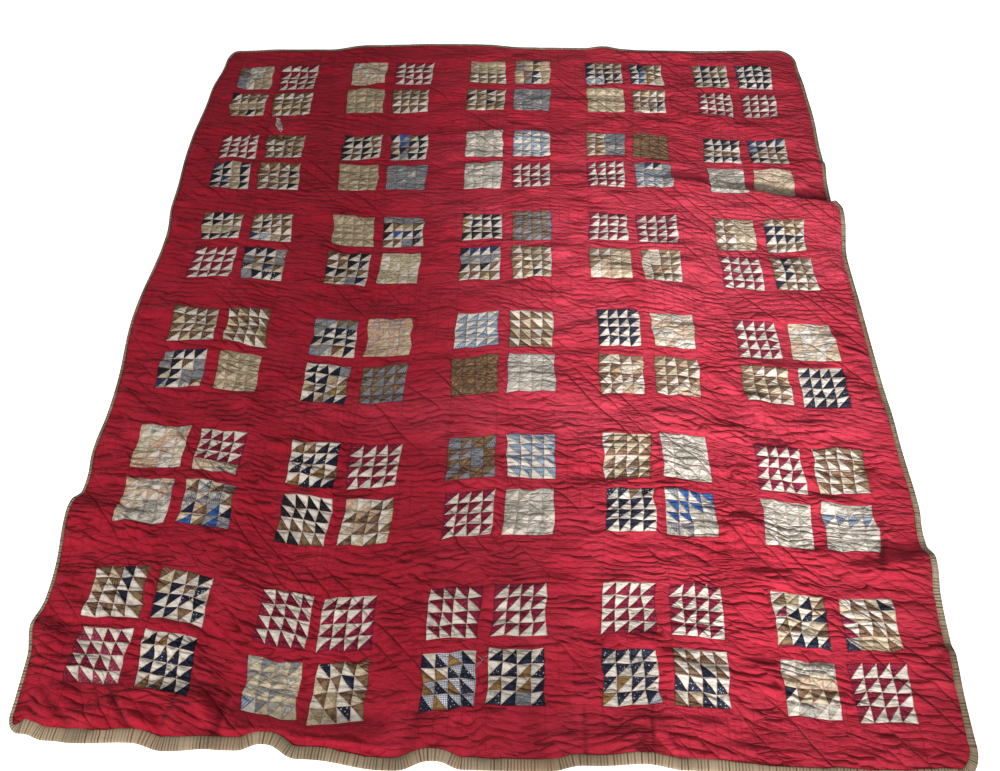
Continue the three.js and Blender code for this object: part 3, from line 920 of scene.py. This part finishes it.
def checked(tree, size, cover):
    """A small woven check: dark where both stripes cross, middling where one runs."""
    plan, _ = patch_plan(tree)
    stripes = [wave(plan, 0.32 / size, direction) for direction in ("X", "Y")]
    across, along = (soft_step(stripe, 1 - cover - 0.1, 1 - cover + 0.1) for stripe in stripes)
    return (across + along) * 0.5


def mottled(tree, size, cover):
    """Vague worn blotches of a second colour."""
    plan, _ = patch_plan(tree)
    return soft_step(noise(plan, 1 / size, 3.0), 0.62 - 0.25 * cover, 0.74 - 0.25 * cover)


# Each cotton: its ground, the colour of its figures, how they are set, their size and how much they cover.
COTTONS = {
    "red": ((166, 24, 45), (148, 16, 38), mottled, 0.050, 0.10),
    "maroon": ((128, 20, 48), (178, 92, 120), sprigged, 0.0060, 0.16),
    "rose": ((150, 52, 76), (205, 150, 155), sprigged, 0.0060, 0.20),
    "cream": ((223, 214, 200), (202, 192, 172), mottled, 0.012, 0.35),
    "tan": ((208, 193, 164), (186, 168, 138), mottled, 0.007, 0.60),
    "fawn": ((170, 152, 122), (150, 132, 104), mottled, 0.006, 0.60),
    "straw": ((208, 195, 164), (184, 169, 136), mottled, 0.008, 0.60),
    "peach": ((208, 184, 158), (184, 146, 116), mottled, 0.008, 0.55),
    "grey": ((200, 194, 180), (150, 147, 140), mottled, 0.0075, 0.75),
    "sage": ((180, 177, 160), (152, 149, 136), mottled, 0.008, 0.70),
    "navy": ((22, 27, 48), (42, 48, 70), mottled, 0.010, 0.40),
    "sprig": ((26, 31, 50), (190, 198, 205), sprigged, 0.0052, 0.20),
    "indigo": ((36, 52, 94), (60, 80, 122), mottled, 0.008, 0.50),
    "black": ((26, 24, 30), (58, 50, 52), mottled, 0.010, 0.40),
    "brown": ((128, 102, 76), (96, 72, 50), mottled, 0.010, 0.60),
    "stripe": ((136, 104, 78), (88, 56, 42), striped, 0.0050, 0.50),
    "walnut": ((116, 84, 56), (152, 124, 90), mottled, 0.007, 0.60),
    "ochre": ((148, 114, 66), (118, 86, 46), mottled, 0.010, 0.50),
    "sky": ((112, 138, 166), (182, 194, 204), striped, 0.0040, 0.40),
    "haze": ((124, 132, 140), (168, 146, 122), mottled, 0.0045, 0.45),
    "slate": ((108, 114, 126), (160, 160, 160), striped, 0.0045, 0.36),
    "cobalt": ((44, 86, 156), (140, 168, 208), sprigged, 0.0070, 0.15),
    "gingham": ((222, 224, 226), (40, 48, 84), checked, 0.0034, 0.50),
    "rust": ((200, 166, 130), (146, 148, 186), sprigged, 0.0085, 0.32),
}

# The red's faded colour, which also stands for a painted sheen.
SHEEN_AND_FADE_RED = (204, 64, 84)
SHEEN_AND_FADE_GREY = 205  # the others fade a little towards a grey of this value, which is partly a painted sheen
PALE = 120  # cottons paler than this get less painted shade in their drawn-in lines


def cotton(name, ground, figures, print_kind, size, cover):
    """One cotton as a material."""
    material = new_material("cotton " + name, **{
        "Specular IOR Level": 0.18, "Sheen Weight": 0.03, "Sheen Roughness": 0.6
    })
    tree = material.node_tree
    pale = SHEEN_AND_FADE_RED if name == "red" else [0.85 * value + 0.15 * SHEEN_AND_FADE_GREY for value in ground]
    links = {
        "Colour": mixed(print_kind(tree, size, cover), dyed(*ground), dyed(*figures)),
        "Fade_and_sheen_colour": dyed(*pale), "Line_shade": 0.26 if min(ground) > PALE else 0.54,
    }
    return surfaced(material, *all_of(put(tree, "ShaderNodeGroup", links, node_tree=washed_cotton)))


cotton_names = list(COTTONS)
cottons = [cotton(name, *COTTONS[name]) for name in cotton_names]


# The pieced top -----------------------------------------------------------------------------------
# Six rows of blocks, each with the alley below it, joined by long seams across the quilt. The raw rim is
# hidden in the binding. The red ground is paler in soft bands where it was folded in the light, and all the
# cloth is paler towards the right, away from the foot, partly from a painted sheen.

RIM_CUT = 0.0045  # the raw edge, in from the binding's fold
CUT_WIDTH = 1.79
LOWEST_VALLEY = 1.8  # a crease may lie lower than wholly low, and is given darker painted shade
MOST_SHEEN_AND_FADE = 0.95
# Faded bands: their middle, half their length and width, their slant in degrees, and how faded.
FADED_BANDS = [
    ((0.240, 0.200), (0.62, 0.10), -18, 0.34),
    ((0.120, -0.330), (0.66, 0.09), -3, 0.28),
    ((0.700, 0.260), (0.42, 0.20), -10, 0.44),
    ((0.420, -0.020), (0.40, 0.12), -8, 0.22),
    ((0.700, -0.560), (0.30, 0.08), -6, 0.08),
    ((-0.250, 0.560), (0.50, 0.07), -12, 0.12),
]
PATCHES = (*UNITS, 4, 4, 2)  # units both ways, squares both ways, and the two triangles


def patch_cottons():
    """For each small square: the cottons of its light and its dark triangle."""
    choose = np.random.default_rng(21)
    chosen = np.zeros(PATCHES, int)
    for place, scraps, _ in planned_units():
        for t, s in np.ndindex(4, 4):
            line = scraps[(3 - t) * len(scraps) // 4]
            darks, lights = SCRAPS[line[s * len(line) // 4]]
            for side, names in enumerate((lights.split(), darks.split())):
                chosen[place][t, s, side] = cotton_names.index(choose.choice(names))
    return chosen


chosen_cottons = patch_cottons()
patch_tones, patch_turns = (np.random.default_rng(seed).uniform(0, 1, PATCHES) for seed in (22, 23))
red_tones = np.random.default_rng(24).uniform(0.25, 0.75, (*UNITS, 3, 3))


def cotton_at(i, j):
    """Each face's cotton, its tone and the turn of its print, from the middle of the face in cells."""
    unit, into_x, into_y = units_at(i, j)
    s, t = (np.clip(into // SQUARE, 0, 3).astype(int) for into in (into_x, into_y))
    right_x, right_y = light_corner[unit].T
    from_middle_x, from_middle_y = into_x - SQUARE * (s + 0.5), into_y - SQUARE * (t + 0.5)
    dark = (right_x * from_middle_x + right_y * from_middle_y < 0).astype(int)
    patch = (*unit, t, s, dark)
    is_red = (into_x < 0) | (into_x > UNIT) | (into_y < 0) | (into_y > UNIT)
    beside, above = (1 + np.sign(into // UNIT).astype(int) for into in (into_x, into_y))
    kind = np.where(is_red, cotton_names.index("red"), chosen_cottons[patch])
    tone = np.where(is_red, red_tones[(*unit, beside, above)], patch_tones[patch])
    return kind, tone, np.where(is_red, 0.0, patch_turns[patch])


def sheen_and_fade(x, y):
    """How faded the cloth is at each place; towards the right, away from the foot, this is partly a painted
    sheen.
    """
    to_right, to_head, at_head = ease((x + 0.45) / 0.8), ease((y + 0.8) / 0.7), ease((y - 0.45) / 0.35)
    # Painted sheen as well as fading: paler towards the right, away from the foot.
    most = 0.60 * to_right * (0.45 + 0.55 * to_head) * (1 - 0.45 * at_head)
    for (band_x, band_y), (half_length, half_width), slant, strength in FADED_BANDS:
        cos, sin = (turn(math.radians(slant)) for turn in (math.cos, math.sin))
        along = ((x - band_x) * cos + (y - band_y) * sin) / half_length
        across = ((y - band_y) * cos - (x - band_x) * sin) / half_width
        most = most + strength * ease(1.3 - np.hypot(along, across))
    return np.clip(most * (0.85 + 0.3 * soft_noise(x, y, 0.06, 0.05, 31)), 0, MOST_SHEEN_AND_FADE)


def is_slanting(i, j):
    """Whether a seam crosses each cell, by its foot left corner, and whether that climbs to the right."""
    unit, into_x, into_y = units_at(i + 0.5, j + 0.5)
    in_unit = (into_x > 0) & (into_x < UNIT) & (into_y > 0) & (into_y < UNIT)
    u, v = np.floor(into_x) % SQUARE, np.floor(into_y) % SQUARE
    right_x, right_y = light_corner[unit].T
    climbs = right_x * right_y < 0
    return in_unit & np.where(climbs, u == v, u + v == SQUARE - 1), climbs


def keep_values(mesh, domain, **values):
    """Keeps values for each point or face of a mesh, for its materials to read."""
    for name, value in values.items():
        kind, field = ("FLOAT_VECTOR", "vector") if value.ndim > 1 else ("FLOAT", "value")
        attribute = mesh.attributes.new(name, kind, domain)
        attribute.data.foreach_set(field, np.ascontiguousarray(value, np.float32).ravel())


def lay_plan(mesh, plan_x, plan_y):
    """Lays the flat cloth's own measure, in metres, on a mesh."""
    corners = np.zeros(len(mesh.loops), np.int32)
    mesh.loops.foreach_get("vertex_index", corners)
    plan = np.stack([plan_x, plan_y], axis=1)[corners]
    mesh.uv_layers.new(name="plan").uv.foreach_set("vector", plan.astype(np.float32).ravel())


def finished_object(name, bm, coordinates=None):
    """An object at the origin with a bmesh's mesh, and optionally its points put elsewhere."""
    mesh = bpy.data.meshes.new(name)
    bm.to_mesh(mesh)
    bm.free()
    if coordinates is not None:
        mesh.vertices.foreach_set("co", np.ascontiguousarray(coordinates, np.float32).ravel())
    mesh.update()
    mesh.shade_smooth()
    made = bpy.data.objects.new(name, mesh)
    bpy.context.scene.collection.objects.link(made)
    return made


def cell_grid(columns, rows, first_i, first_j):
    """A flat grid of square cells, one unit each, from its first cell on."""
    bm = bmesh.new()
    bmesh.ops.create_grid(bm, x_segments=columns, y_segments=rows, size=0.5)
    bmesh.ops.scale(bm, vec=(columns, rows, 1), verts=bm.verts)
    bmesh.ops.translate(bm, vec=(first_i + columns / 2, first_j + rows / 2, 0), verts=bm.verts)
    return bm


def middles(faces):
    """The middle of each face, across and along."""
    return np.array([face.calc_center_median()[:2] for face in faces]).T


def cut_away(bm, faces, beyond):
    """Cuts away the faces beyond the raw edge. Gives the points left, and which are on that edge."""
    bmesh.ops.delete(bm, geom=[faces[k] for k in np.flatnonzero(beyond)], context="FACES")
    bm.verts.index_update()
    return np.array([v.co[:2] for v in bm.verts]).T, np.array([v.is_boundary for v in bm.verts])


def drawn_to_edge(x, y, raw_edge, reach):
    """Moves the points of the raw edge that lie within a reach of the rim to that edge's own depth."""
    depth, into, front = from_rim(x, y)
    moved = np.where(raw_edge & (depth < reach), RIM_CUT - depth, 0)
    return x + into[:, 0] * moved, y + into[:, 1] * moved, depth + moved, into, front


def row_of_blocks(name, first_j, last_j):
    """One row of blocks as a mesh, cut to the rim, puffed, and pieced from its cottons."""
    columns = LEFT_MARGIN + COLUMNS * CELLS + RIGHT_MARGIN
    bm = cell_grid(columns, last_j - first_j, -LEFT_MARGIN, first_j)
    faces = list(bm.faces)
    i, j = middles(faces)
    beyond = from_rim(*spread(i, j))[0] < RIM_CUT
    flat_area = np.sum(~beyond) * CELL_X * CELL_Y
    crossed, climbs = is_slanting(np.floor(i), np.floor(j))
    for method, wanted in (("FIXED", climbs), ("ALTERNATE", ~climbs)):
        cut = [faces[k] for k in np.flatnonzero(crossed & wanted & ~beyond)]
        bmesh.ops.triangulate(bm, faces=cut, quad_method=method)
    places, raw_edge = cut_away(bm, faces, beyond)
    i, j = places.round()
    plan_x, plan_y = plan_place(i, j)
    x, y, depth, into, front = drawn_to_edge(*spread(i, j), raw_edge, 2 * RIM_CUT)
    seams = seam_distance(i, j)
    puffs, low = relief(plan_x, plan_y, seams)
    creases = np.sum(each_fold(x, y, CREASES), axis=0)
    z = top_height(x, y, puffs, creases, depth, into, front)
    kind, tone, turn = cotton_at(*middles(bm.faces))
    made = finished_object(name, bm, np.stack([x, y, z], axis=1))
    mesh = made.data
    lay_plan(mesh, plan_x, plan_y)
    courses = [pucker_course(plan_x, plan_y, *pucker_set[:2], pucker_set[-1]) for pucker_set in PUCKER_SETS]
    # The valley value is painted shade for the cottons: darkest where the cloth lies low and in troughs.
    keep_values(
        mesh, "POINT", puckers=np.stack(courses, axis=1), puckered=pucker_strengths(plan_x, plan_y).T,
        quilting=quilting_course(plan_x, plan_y), quilted=quilting_strength(plan_x, plan_y),
        uprights=upright_course(plan_x, plan_y), upright=upright_strength(plan_x, plan_y), seam=seams,
        # The fade value is partly a painted sheen.
        valley=np.clip(low - creases / VALLEY, 0, LOWEST_VALLEY), fade=sheen_and_fade(x, y),
    )
    keep_values(mesh, "FACE", tone=tone, turn=turn)
    for material in cottons:
        mesh.materials.append(material)
    mesh.polygons.foreach_set("material_index", kind.astype(np.int32))
    return made, flat_area


pieced_rows = []
for row in range(ROWS):
    first_j = -FOOT_MARGIN if row == 0 else row * CELLS + BLOCK_END - CELLS
    last_j = ROWS * CELLS + HEAD_MARGIN if row == ROWS - 1 else row * CELLS + BLOCK_END
    pieced, flat_area = row_of_blocks(f"pieced_row_{ROWS - row}", first_j, last_j)
    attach(pieced, "root")
    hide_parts("quilted_panel")
    round(flat_area / CUT_WIDTH, 3)
    pieced_rows.append(pieced)


# The backing --------------------------------------------------------------------------------------
# Plain unbleached muslin, one width under the whole quilt. It lies on the surface except in the folds,
# and the quilting shows on it as rows of small stitches. The binding's back laps over its rim.

BACKING_STEP = 0.010
BACK_LAP = 0.013  # how far the binding reaches in on the back
LAP_SOFTNESS = 0.010
BACKING_ROOM = 0.0006
LAP_ROOM = 0.0016  # higher again above the binding's back

back_columns, back_rows = (math.ceil(2 * side / BACKING_STEP) for side in rim.max(axis=0))
backing_bm = cell_grid(back_columns, back_rows, -back_columns / 2, -back_rows / 2)
backing_faces = list(backing_bm.faces)
beyond = from_rim(*middles(backing_faces) * BACKING_STEP)[0] < RIM_CUT
places, raw_edge = cut_away(backing_bm, backing_faces, beyond)
x, y, depth, into, _ = drawn_to_edge(*places * BACKING_STEP, raw_edge, FAR_IN)
under_binding = 1 - ease((depth - BACK_LAP) / LAP_SOFTNESS)
z = underside(x, y, depth, into) + BACKING_ROOM + LAP_ROOM * under_binding
bmesh.ops.reverse_faces(backing_bm, faces=backing_bm.faces)
backing = finished_object("backing", backing_bm, np.stack([x, y, z], axis=1))
lay_plan(backing.data, x, y)
keep_values(backing.data, "POINT", seam=np.ones(len(x)), quilting=quilting_course(x, y))
backing.data.materials.append(cotton("muslin", (214, 203, 182), (190, 176, 150), mottled, 0.030, 0.40))
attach(backing, "root")
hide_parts("quilted_panel")


# The binding --------------------------------------------------------------------------------------
# Four strips of striped homespun, a coarse cloth, cut across its stripe, folded over the raw rim and sewn
# down front and back with the raw edges turned in. Long handling has soiled it in clouds, and it is darker
# towards its inner edge.

BINDING_HEIGHT = 0.0063
# The way round it, from the back: per cent of the front's width, and tenths of a millimetre in and up.
BINDING_SECTION = [
    (0, 130, 0), (0, 70, 0), (0, 24, 1), (0, 6, 10), (0, 0, 28), (0, 4, 45), (0, 18, 58), (0, 45, 64),
    (35, 0, 67), (60, 0, 65), (85, 0, 64), (100, -8, 63), (100, 0, 57), (100, -3, 50), (100, -20, 48),
    (50, 0, 51), (0, 45, 50), (0, 24, 42), (0, 15, 28), (0, 24, 15), (0, 45, 11), (0, 130, 11),
]
FRONT_FROM, FRONT_SOFTNESS = 0.0042, 0.0008  # only the front, above this height, is uneven
UNEVEN_RISE = 0.00032
STRIP_GAP = 0.0003
MERGE_WITHIN = 0.00001
# Slits and tucks where the strip has slackened: the side, from and to along it, and how deep.
SLACK = [("foot", 0.100, 0.225, 0.0016), ("foot", 0.395, 0.450, 0.0012), ("foot", 0.640, 0.700, 0.0010)]
SLACK_SOFTNESS = 0.02  # past its ends
SLACK_MIDDLE, SLACK_REACH = 0.60, 0.3  # as shares of the front's width
STRIPE_PITCH = 0.0060
SOIL = 0.55  # how far the soiled clouds cover the cloth's own colour
PINKER_GROUND = (176, 142, 116)
SOIL_AND_EDGE_COLOUR = (98, 88, 68)


def swept(name, rings):
    """A closed tube through rings of points that go once round it, and each point's place in its ring."""
    count, around = rings.shape[:2]
    bm = cell_grid(count - 1, around, 0, 0)
    place = bm.verts.layers.float_vector.new("run")
    for vert in bm.verts:
        along, across = round(vert.co.x), round(vert.co.y)
        vert[place] = (along, across % around, 0)
        vert.co = rings[along, across % around]
    bmesh.ops.remove_doubles(bm, verts=bm.verts, dist=MERGE_WITHIN)
    ends = bmesh.ops.holes_fill(bm, edges=[edge for edge in bm.edges if edge.is_boundary], sides=0)
    bmesh.ops.triangulate(bm, faces=ends["faces"])
    bmesh.ops.recalc_face_normals(bm, faces=bm.faces)
    bm.verts.index_update()
    places = np.array([vert[place][:2] for vert in bm.verts]).round().astype(int)
    bm.verts.layers.float_vector.remove(place)
    return finished_object(name, bm), places


def noise_along(along, size, seed):
    """Smooth unevenness from -1 to 1 along a strip."""
    return soft_noise(along, 0 * along, size, 1, seed)


def binding_strip(side):
    """One side's strip of binding, with its length."""
    line = rim_by_side[side]
    count = len(line)
    start = int(np.argmin(np.linalg.norm(rim - line[0], axis=1)))
    into = rim_inward[(start + np.arange(count)) % len(rim)]
    steps = np.linalg.norm(np.diff(line, axis=0), axis=1)
    along = np.concatenate([[0], np.cumsum(steps)])
    front = rim_front[np.minimum(start + np.arange(count), start + count - 2)]
    front = front * (1 + 0.09 * noise_along(along, 0.045, 81) + 0.05 * noise_along(along, 0.016, 82))
    share, metres_in, up = (np.array(BINDING_SECTION) / (100, 10000, 10000)).T
    across = share * front[:, None] + metres_in
    tight = noise_along(along, 0.012, 83) + noise_along(along, 0.033, 84)
    rise = UNEVEN_RISE * tight[:, None] * np.ones(len(up))
    for slack_side, first, last, deep in SLACK:
        if slack_side == side:
            middle = hump(along - (first + last) / 2, (last - first) / 2 + SLACK_SOFTNESS)
            rise = rise - deep * middle[:, None] * hump(share - SLACK_MIDDLE, SLACK_REACH)
    level = underside(line[:, 0], line[:, 1], np.zeros(count), into)
    heights = level[:, None] + up + rise * ease((up - FRONT_FROM) / FRONT_SOFTNESS)
    ends = np.zeros(count)
    ends[0], ends[-1] = STRIP_GAP / 2, -STRIP_GAP / 2
    way = np.stack([into[:, 1], -into[:, 0]], axis=1)
    flat = line[:, None] + into[:, None] * across[..., None] + (way * ends[:, None])[:, None]
    strip, places = swept("binding_" + side + "_strip", np.concatenate([flat, heights[..., None]], axis=2))
    k, place_in_ring = places.T
    run = np.stack([along[k], across[k, place_in_ring] / front[k], 0 * along[k]], axis=1)
    keep_values(strip.data, "POINT", run=run)
    return strip, along[-1]


def homespun(name, cover, ground, dark):
    """Striped homespun: fine stripes across the strip, uneven in strength, with thick slubby threads."""
    material = new_material("homespun " + name, **{"Specular IOR Level": 0.15})
    tree = material.node_tree
    run = value_of(tree, "run", "Vector")
    along, across, _ = parts_of(run)
    place = put(tree, "ShaderNodeTexCoord", {}, "Object")
    course = noise(place, 26.0, 2.0).times_plus(0.55, along.sum("DIVIDE", STRIPE_PITCH))
    stripe = soft_step(course.off_middle(), cover / 2 + 0.07, cover / 2 - 0.07)
    number = course.floor()
    strength = put(tree, "ShaderNodeTexNoise", {"W": number, "Scale": 3.1}, "Fac", noise_dimensions="1D")
    # Every second stripe is a thinner brown.
    stripe = stripe * soft_step(strength, 0.25, 0.62) * number.sum("MODULO", 2.0).times_plus(-0.30, 1.0)
    pinker = soft_step(noise(place, 4.0, 1.0), 0.48, 0.70)
    colour = mixed(stripe, mixed(pinker, dyed(*ground), dyed(*PINKER_GROUND)), dyed(*dark))
    cloud = noise(place, 9.0, 6.0)
    # Darker towards the inner edge, by the red cloth, as well as soiled in clouds.
    inner = soft_step(across, 0.45, 1.0) * 0.36
    soil_and_inner_darkening = soft_step(cloud, 0.40, 0.66).times_plus(SOIL, inner).at_most(0.8)
    fine = noise(place, 700.0, 2.0)
    light = fine.times_plus(0.5, 0.75)
    colour = shaded(mixed(soil_and_inner_darkening, colour, dyed(*SOIL_AND_EDGE_COLOUR)), joined(light, light, light))
    height = fine.times_plus(0.7, wave(run, 330.0, Distortion=1.0).times_plus(0.25, cloud * 1.2))
    return surfaced(material, colour, fine.times_plus(0.1, 0.85), raised(height, 0.8))


foot_homespun = homespun("foot", 0.46, (190, 168, 140), (106, 82, 62))
side_homespun = homespun("sides", 0.50, (190, 174, 146), (96, 78, 58))
for side in rim_by_side:
    strip, length = binding_strip(side)
    strip.data.materials.append(foot_homespun if side == "foot" else side_homespun)
    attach(strip, "root")
    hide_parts("binding_" + side)
    cut_width = sum(BINDING_FRONTS[side]) / 2 + BACK_LAP + BINDING_HEIGHT


# The worn spot and loose threads ------------------------------------------------------------------
# The cloth has worn through between two blocks near the head, and a tuft of the pale wadding stands in the
# hole, with a slit below it, shown as a dark lens of painted shade. Ends of sewing thread have come loose at
# a unit near the foot.

WORN_SPOT = ((-0.674, 0.690), (-0.648, 0.614))  # from its head end to its foot end
SLIT = ((-0.644, 0.610), (-0.637, 0.588))
THREAD = 0.00045  # radius
THREAD_POINTS, THREAD_SIDES = 19, 6
# Each loose thread: where it leaves the seam, where it ends, how far it bows aside and how high it stands.
LOOSE_THREADS = [
    ((-0.004, -0.868), (-0.030, -0.892), 0.0045, 0.0040),
    ((-0.003, -0.870), (-0.026, -0.898), 0.0030, 0.0050),
    ((-0.003, -0.868), (0.014, -0.852), -0.0040, 0.0060),
    ((0.030, -0.866), (0.037, -0.857), 0.0020, 0.0030),
    ((0.058, -0.866), (0.052, -0.856), -0.0016, 0.0030),
    ((-0.004, -0.872), (-0.012, -0.866), 0.0022, 0.0040),
]

bpy.context.view_layer.update()


def height_of_top(x, y):
    """How high the pieced top lies at a place."""
    for pieced in pieced_rows:
        hit, place, _, _ = pieced.ray_cast((x, y, 1), (0, 0, -1))
        if hit:
            return place.z
    return THICKNESS


def lump(name, start, end, width, rise):
    """A closed, uneven lens of fibres from one place to another, half sunk into the cloth."""
    (x1, y1), (x2, y2) = np.array(start) - rim_middle, np.array(end) - rim_middle
    half_length = math.dist((x1, y1), (x2, y2)) / 2
    bm = bmesh.new()
    bmesh.ops.create_uvsphere(bm, u_segments=64, v_segments=32, radius=1)
    bmesh.ops.rotate(bm, cent=(0, 0, 0), matrix=Matrix.Rotation(math.pi / 2, 3, "Y"), verts=bm.verts)
    s, t, u = np.array([v.co[:] for v in bm.verts]).T
    uneven = 1 + 0.40 * soft_noise(s, t, 0.22, 0.45, 95) + 0.22 * soft_noise(s, t + u, 0.08, 0.20, 96)
    along, across = s * half_length, t * width / 2 * uneven
    ux, uy = (x2 - x1) / 2 / half_length, (y2 - y1) / 2 / half_length
    x, y = (x1 + x2) / 2 + along * ux - across * uy, (y1 + y2) / 2 + along * uy + across * ux
    ground = [height_of_top(x1 + (x2 - x1) * share, y1 + (y2 - y1) * share) for share in (0.2, 0.5, 0.8)]
    z = np.interp(s, (-0.6, 0, 0.6), ground) + rise * u * uneven
    return finished_object(name, bm, np.stack([x, y, z], axis=1))


def loose_thread(name, start, end, aside, rise):
    """One thread end that bows aside and stands off the cloth in the middle."""
    (x1, y1), (x2, y2) = np.array(start) - rim_middle, np.array(end) - rim_middle
    share = np.linspace(0, 1, THREAD_POINTS)
    bow = np.sin(math.pi * share) + 0.3 * np.sin(2.6 * math.pi * share)
    length = math.dist((x1, y1), (x2, y2))
    ux, uy = (x2 - x1) / length, (y2 - y1) / length
    x = x1 + (x2 - x1) * share - uy * aside * bow
    y = y1 + (y2 - y1) * share + ux * aside * bow
    ground = np.array([height_of_top(*place) for place in zip(x, y)])
    z = ground + THREAD / 2 + rise * np.sin(math.pi * share) ** 2
    turn = np.arange(THREAD_SIDES) / THREAD_SIDES * 2 * math.pi
    off = np.stack([-uy * np.cos(turn), ux * np.cos(turn), np.sin(turn)], axis=1) * THREAD
    return swept(name, np.stack([x, y, z], axis=1)[:, None] + off)[0]


def fibres(name, ground, flecks, dark):
    """Fluffy fibres: pale, tinted by the cloth about them, with dark curled flecks."""
    material = new_material(name)
    place = put(material.node_tree, "ShaderNodeTexCoord", {}, "Object")
    cloud, curls = noise(place, 210.0, 3.0), noise(place, 260.0, 2.0, Distortion=1.5)
    colour = mixed(soft_step(cloud, 0.48, 0.58), dyed(*ground), dyed(*flecks))
    colour = mixed(soft_step((curls - 0.47).sum("ABSOLUTE"), 0.055, 0.020), colour, dyed(*dark))
    height = curls.times_plus(1.5, cloud)
    return surfaced(material, colour, cloud.times_plus(0.1, 0.85), raised(height, distance=0.0012))


wadding = fibres("wadding", (240, 234, 226), (166, 70, 74), (78, 34, 38))
# Painted shade: the slit is a dark lens laid on the cloth, coloured as the shade inside it.
slit_shade = fibres("painted_slit_shade", (46, 14, 22), (70, 18, 30), (24, 10, 14))
thread_cotton = fibres("sewing thread", (198, 190, 186), (150, 150, 164), (120, 116, 122))
loose_bits = [
    (lump("worn_spot_wadding", *WORN_SPOT, 0.017, 0.0022), wadding),
    (lump("worn_spot_slit", *SLIT, 0.0042, 0.0007), slit_shade),
]
for number, thread in enumerate(LOOSE_THREADS, 1):
    loose_bits.append((loose_thread(f"loose_thread_{number}", *thread), thread_cotton))
for piece, material in loose_bits:
    piece.data.materials.append(material)
    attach(piece, "root")


# The floor, the light and the camera ---------------------------------------------------------------
# A plain pale floor, soft daylight from the foot and the right, and a standing person's view from the foot.

floor_bm = bmesh.new()
bmesh.ops.create_grid(floor_bm, x_segments=1, y_segments=1, size=12)
floor = finished_object("floor", floor_bm)
floor.data.materials.append(new_material("pale floor", **{
    "Base Color": (0.93, 0.93, 0.93, 1), "Roughness": 0.9, "Emission Color": (1, 1, 1, 1),
    "Emission Strength": 0.90,
}))


def hung_lamp(name, kind, place, target, power):
    """A lamp of one kind, aimed at a place."""
    lamp = bpy.data.lights.new(name, kind)
    lamp.energy = power
    holder = bpy.data.objects.new(name, lamp)
    aim = np.subtract(target, place)
    holder.location = place
    holder.rotation_euler = (math.atan2(math.hypot(aim[0], aim[1]), -aim[2]), 0, math.atan2(-aim[0], aim[1]))
    bpy.context.scene.collection.objects.link(holder)
    return lamp


window = hung_lamp("window", "SPOT", (0.60, -3.35, 1.32), (0.57, 0.40, 0.0), 745)
window.spot_size = math.radians(26)
window.spot_blend = 1.0
window.shadow_soft_size = 0.20
fill = hung_lamp("fill", "AREA", (-1.10, -2.50, 2.10), (-0.80, 0.70, 0.0), 70)
fill.size = 1.2
room = bpy.data.worlds.new("room")
room.use_nodes = True
room.node_tree.nodes["Background"].inputs["Color"].default_value = (1, 1, 1, 1)
room.node_tree.nodes["Background"].inputs["Strength"].default_value = 0.24
bpy.context.scene.world = room
bpy.context.scene.view_settings.view_transform = "Standard"

VIEW_PLACE = (0.049, -1.292, 1.619)
VIEW_DOWN, VIEW_LEFT, VIEW_TILT = (math.radians(a) for a in (56.71, 2.06, -0.55))
view_data = bpy.data.cameras.new("view")
view_data.sensor_width = 36
view_data.lens = 29.88
view_data.clip_start = 0.05
view = bpy.data.objects.new("view", view_data)
turned = Matrix.Rotation(VIEW_LEFT, 4, "Z") @ Matrix.Rotation(math.pi / 2 - VIEW_DOWN, 4, "X")
view.matrix_world = Matrix.Translation(VIEW_PLACE) @ turned @ Matrix.Rotation(VIEW_TILT, 4, "Z")
bpy.context.scene.collection.objects.link(view)
bpy.context.scene.camera = view
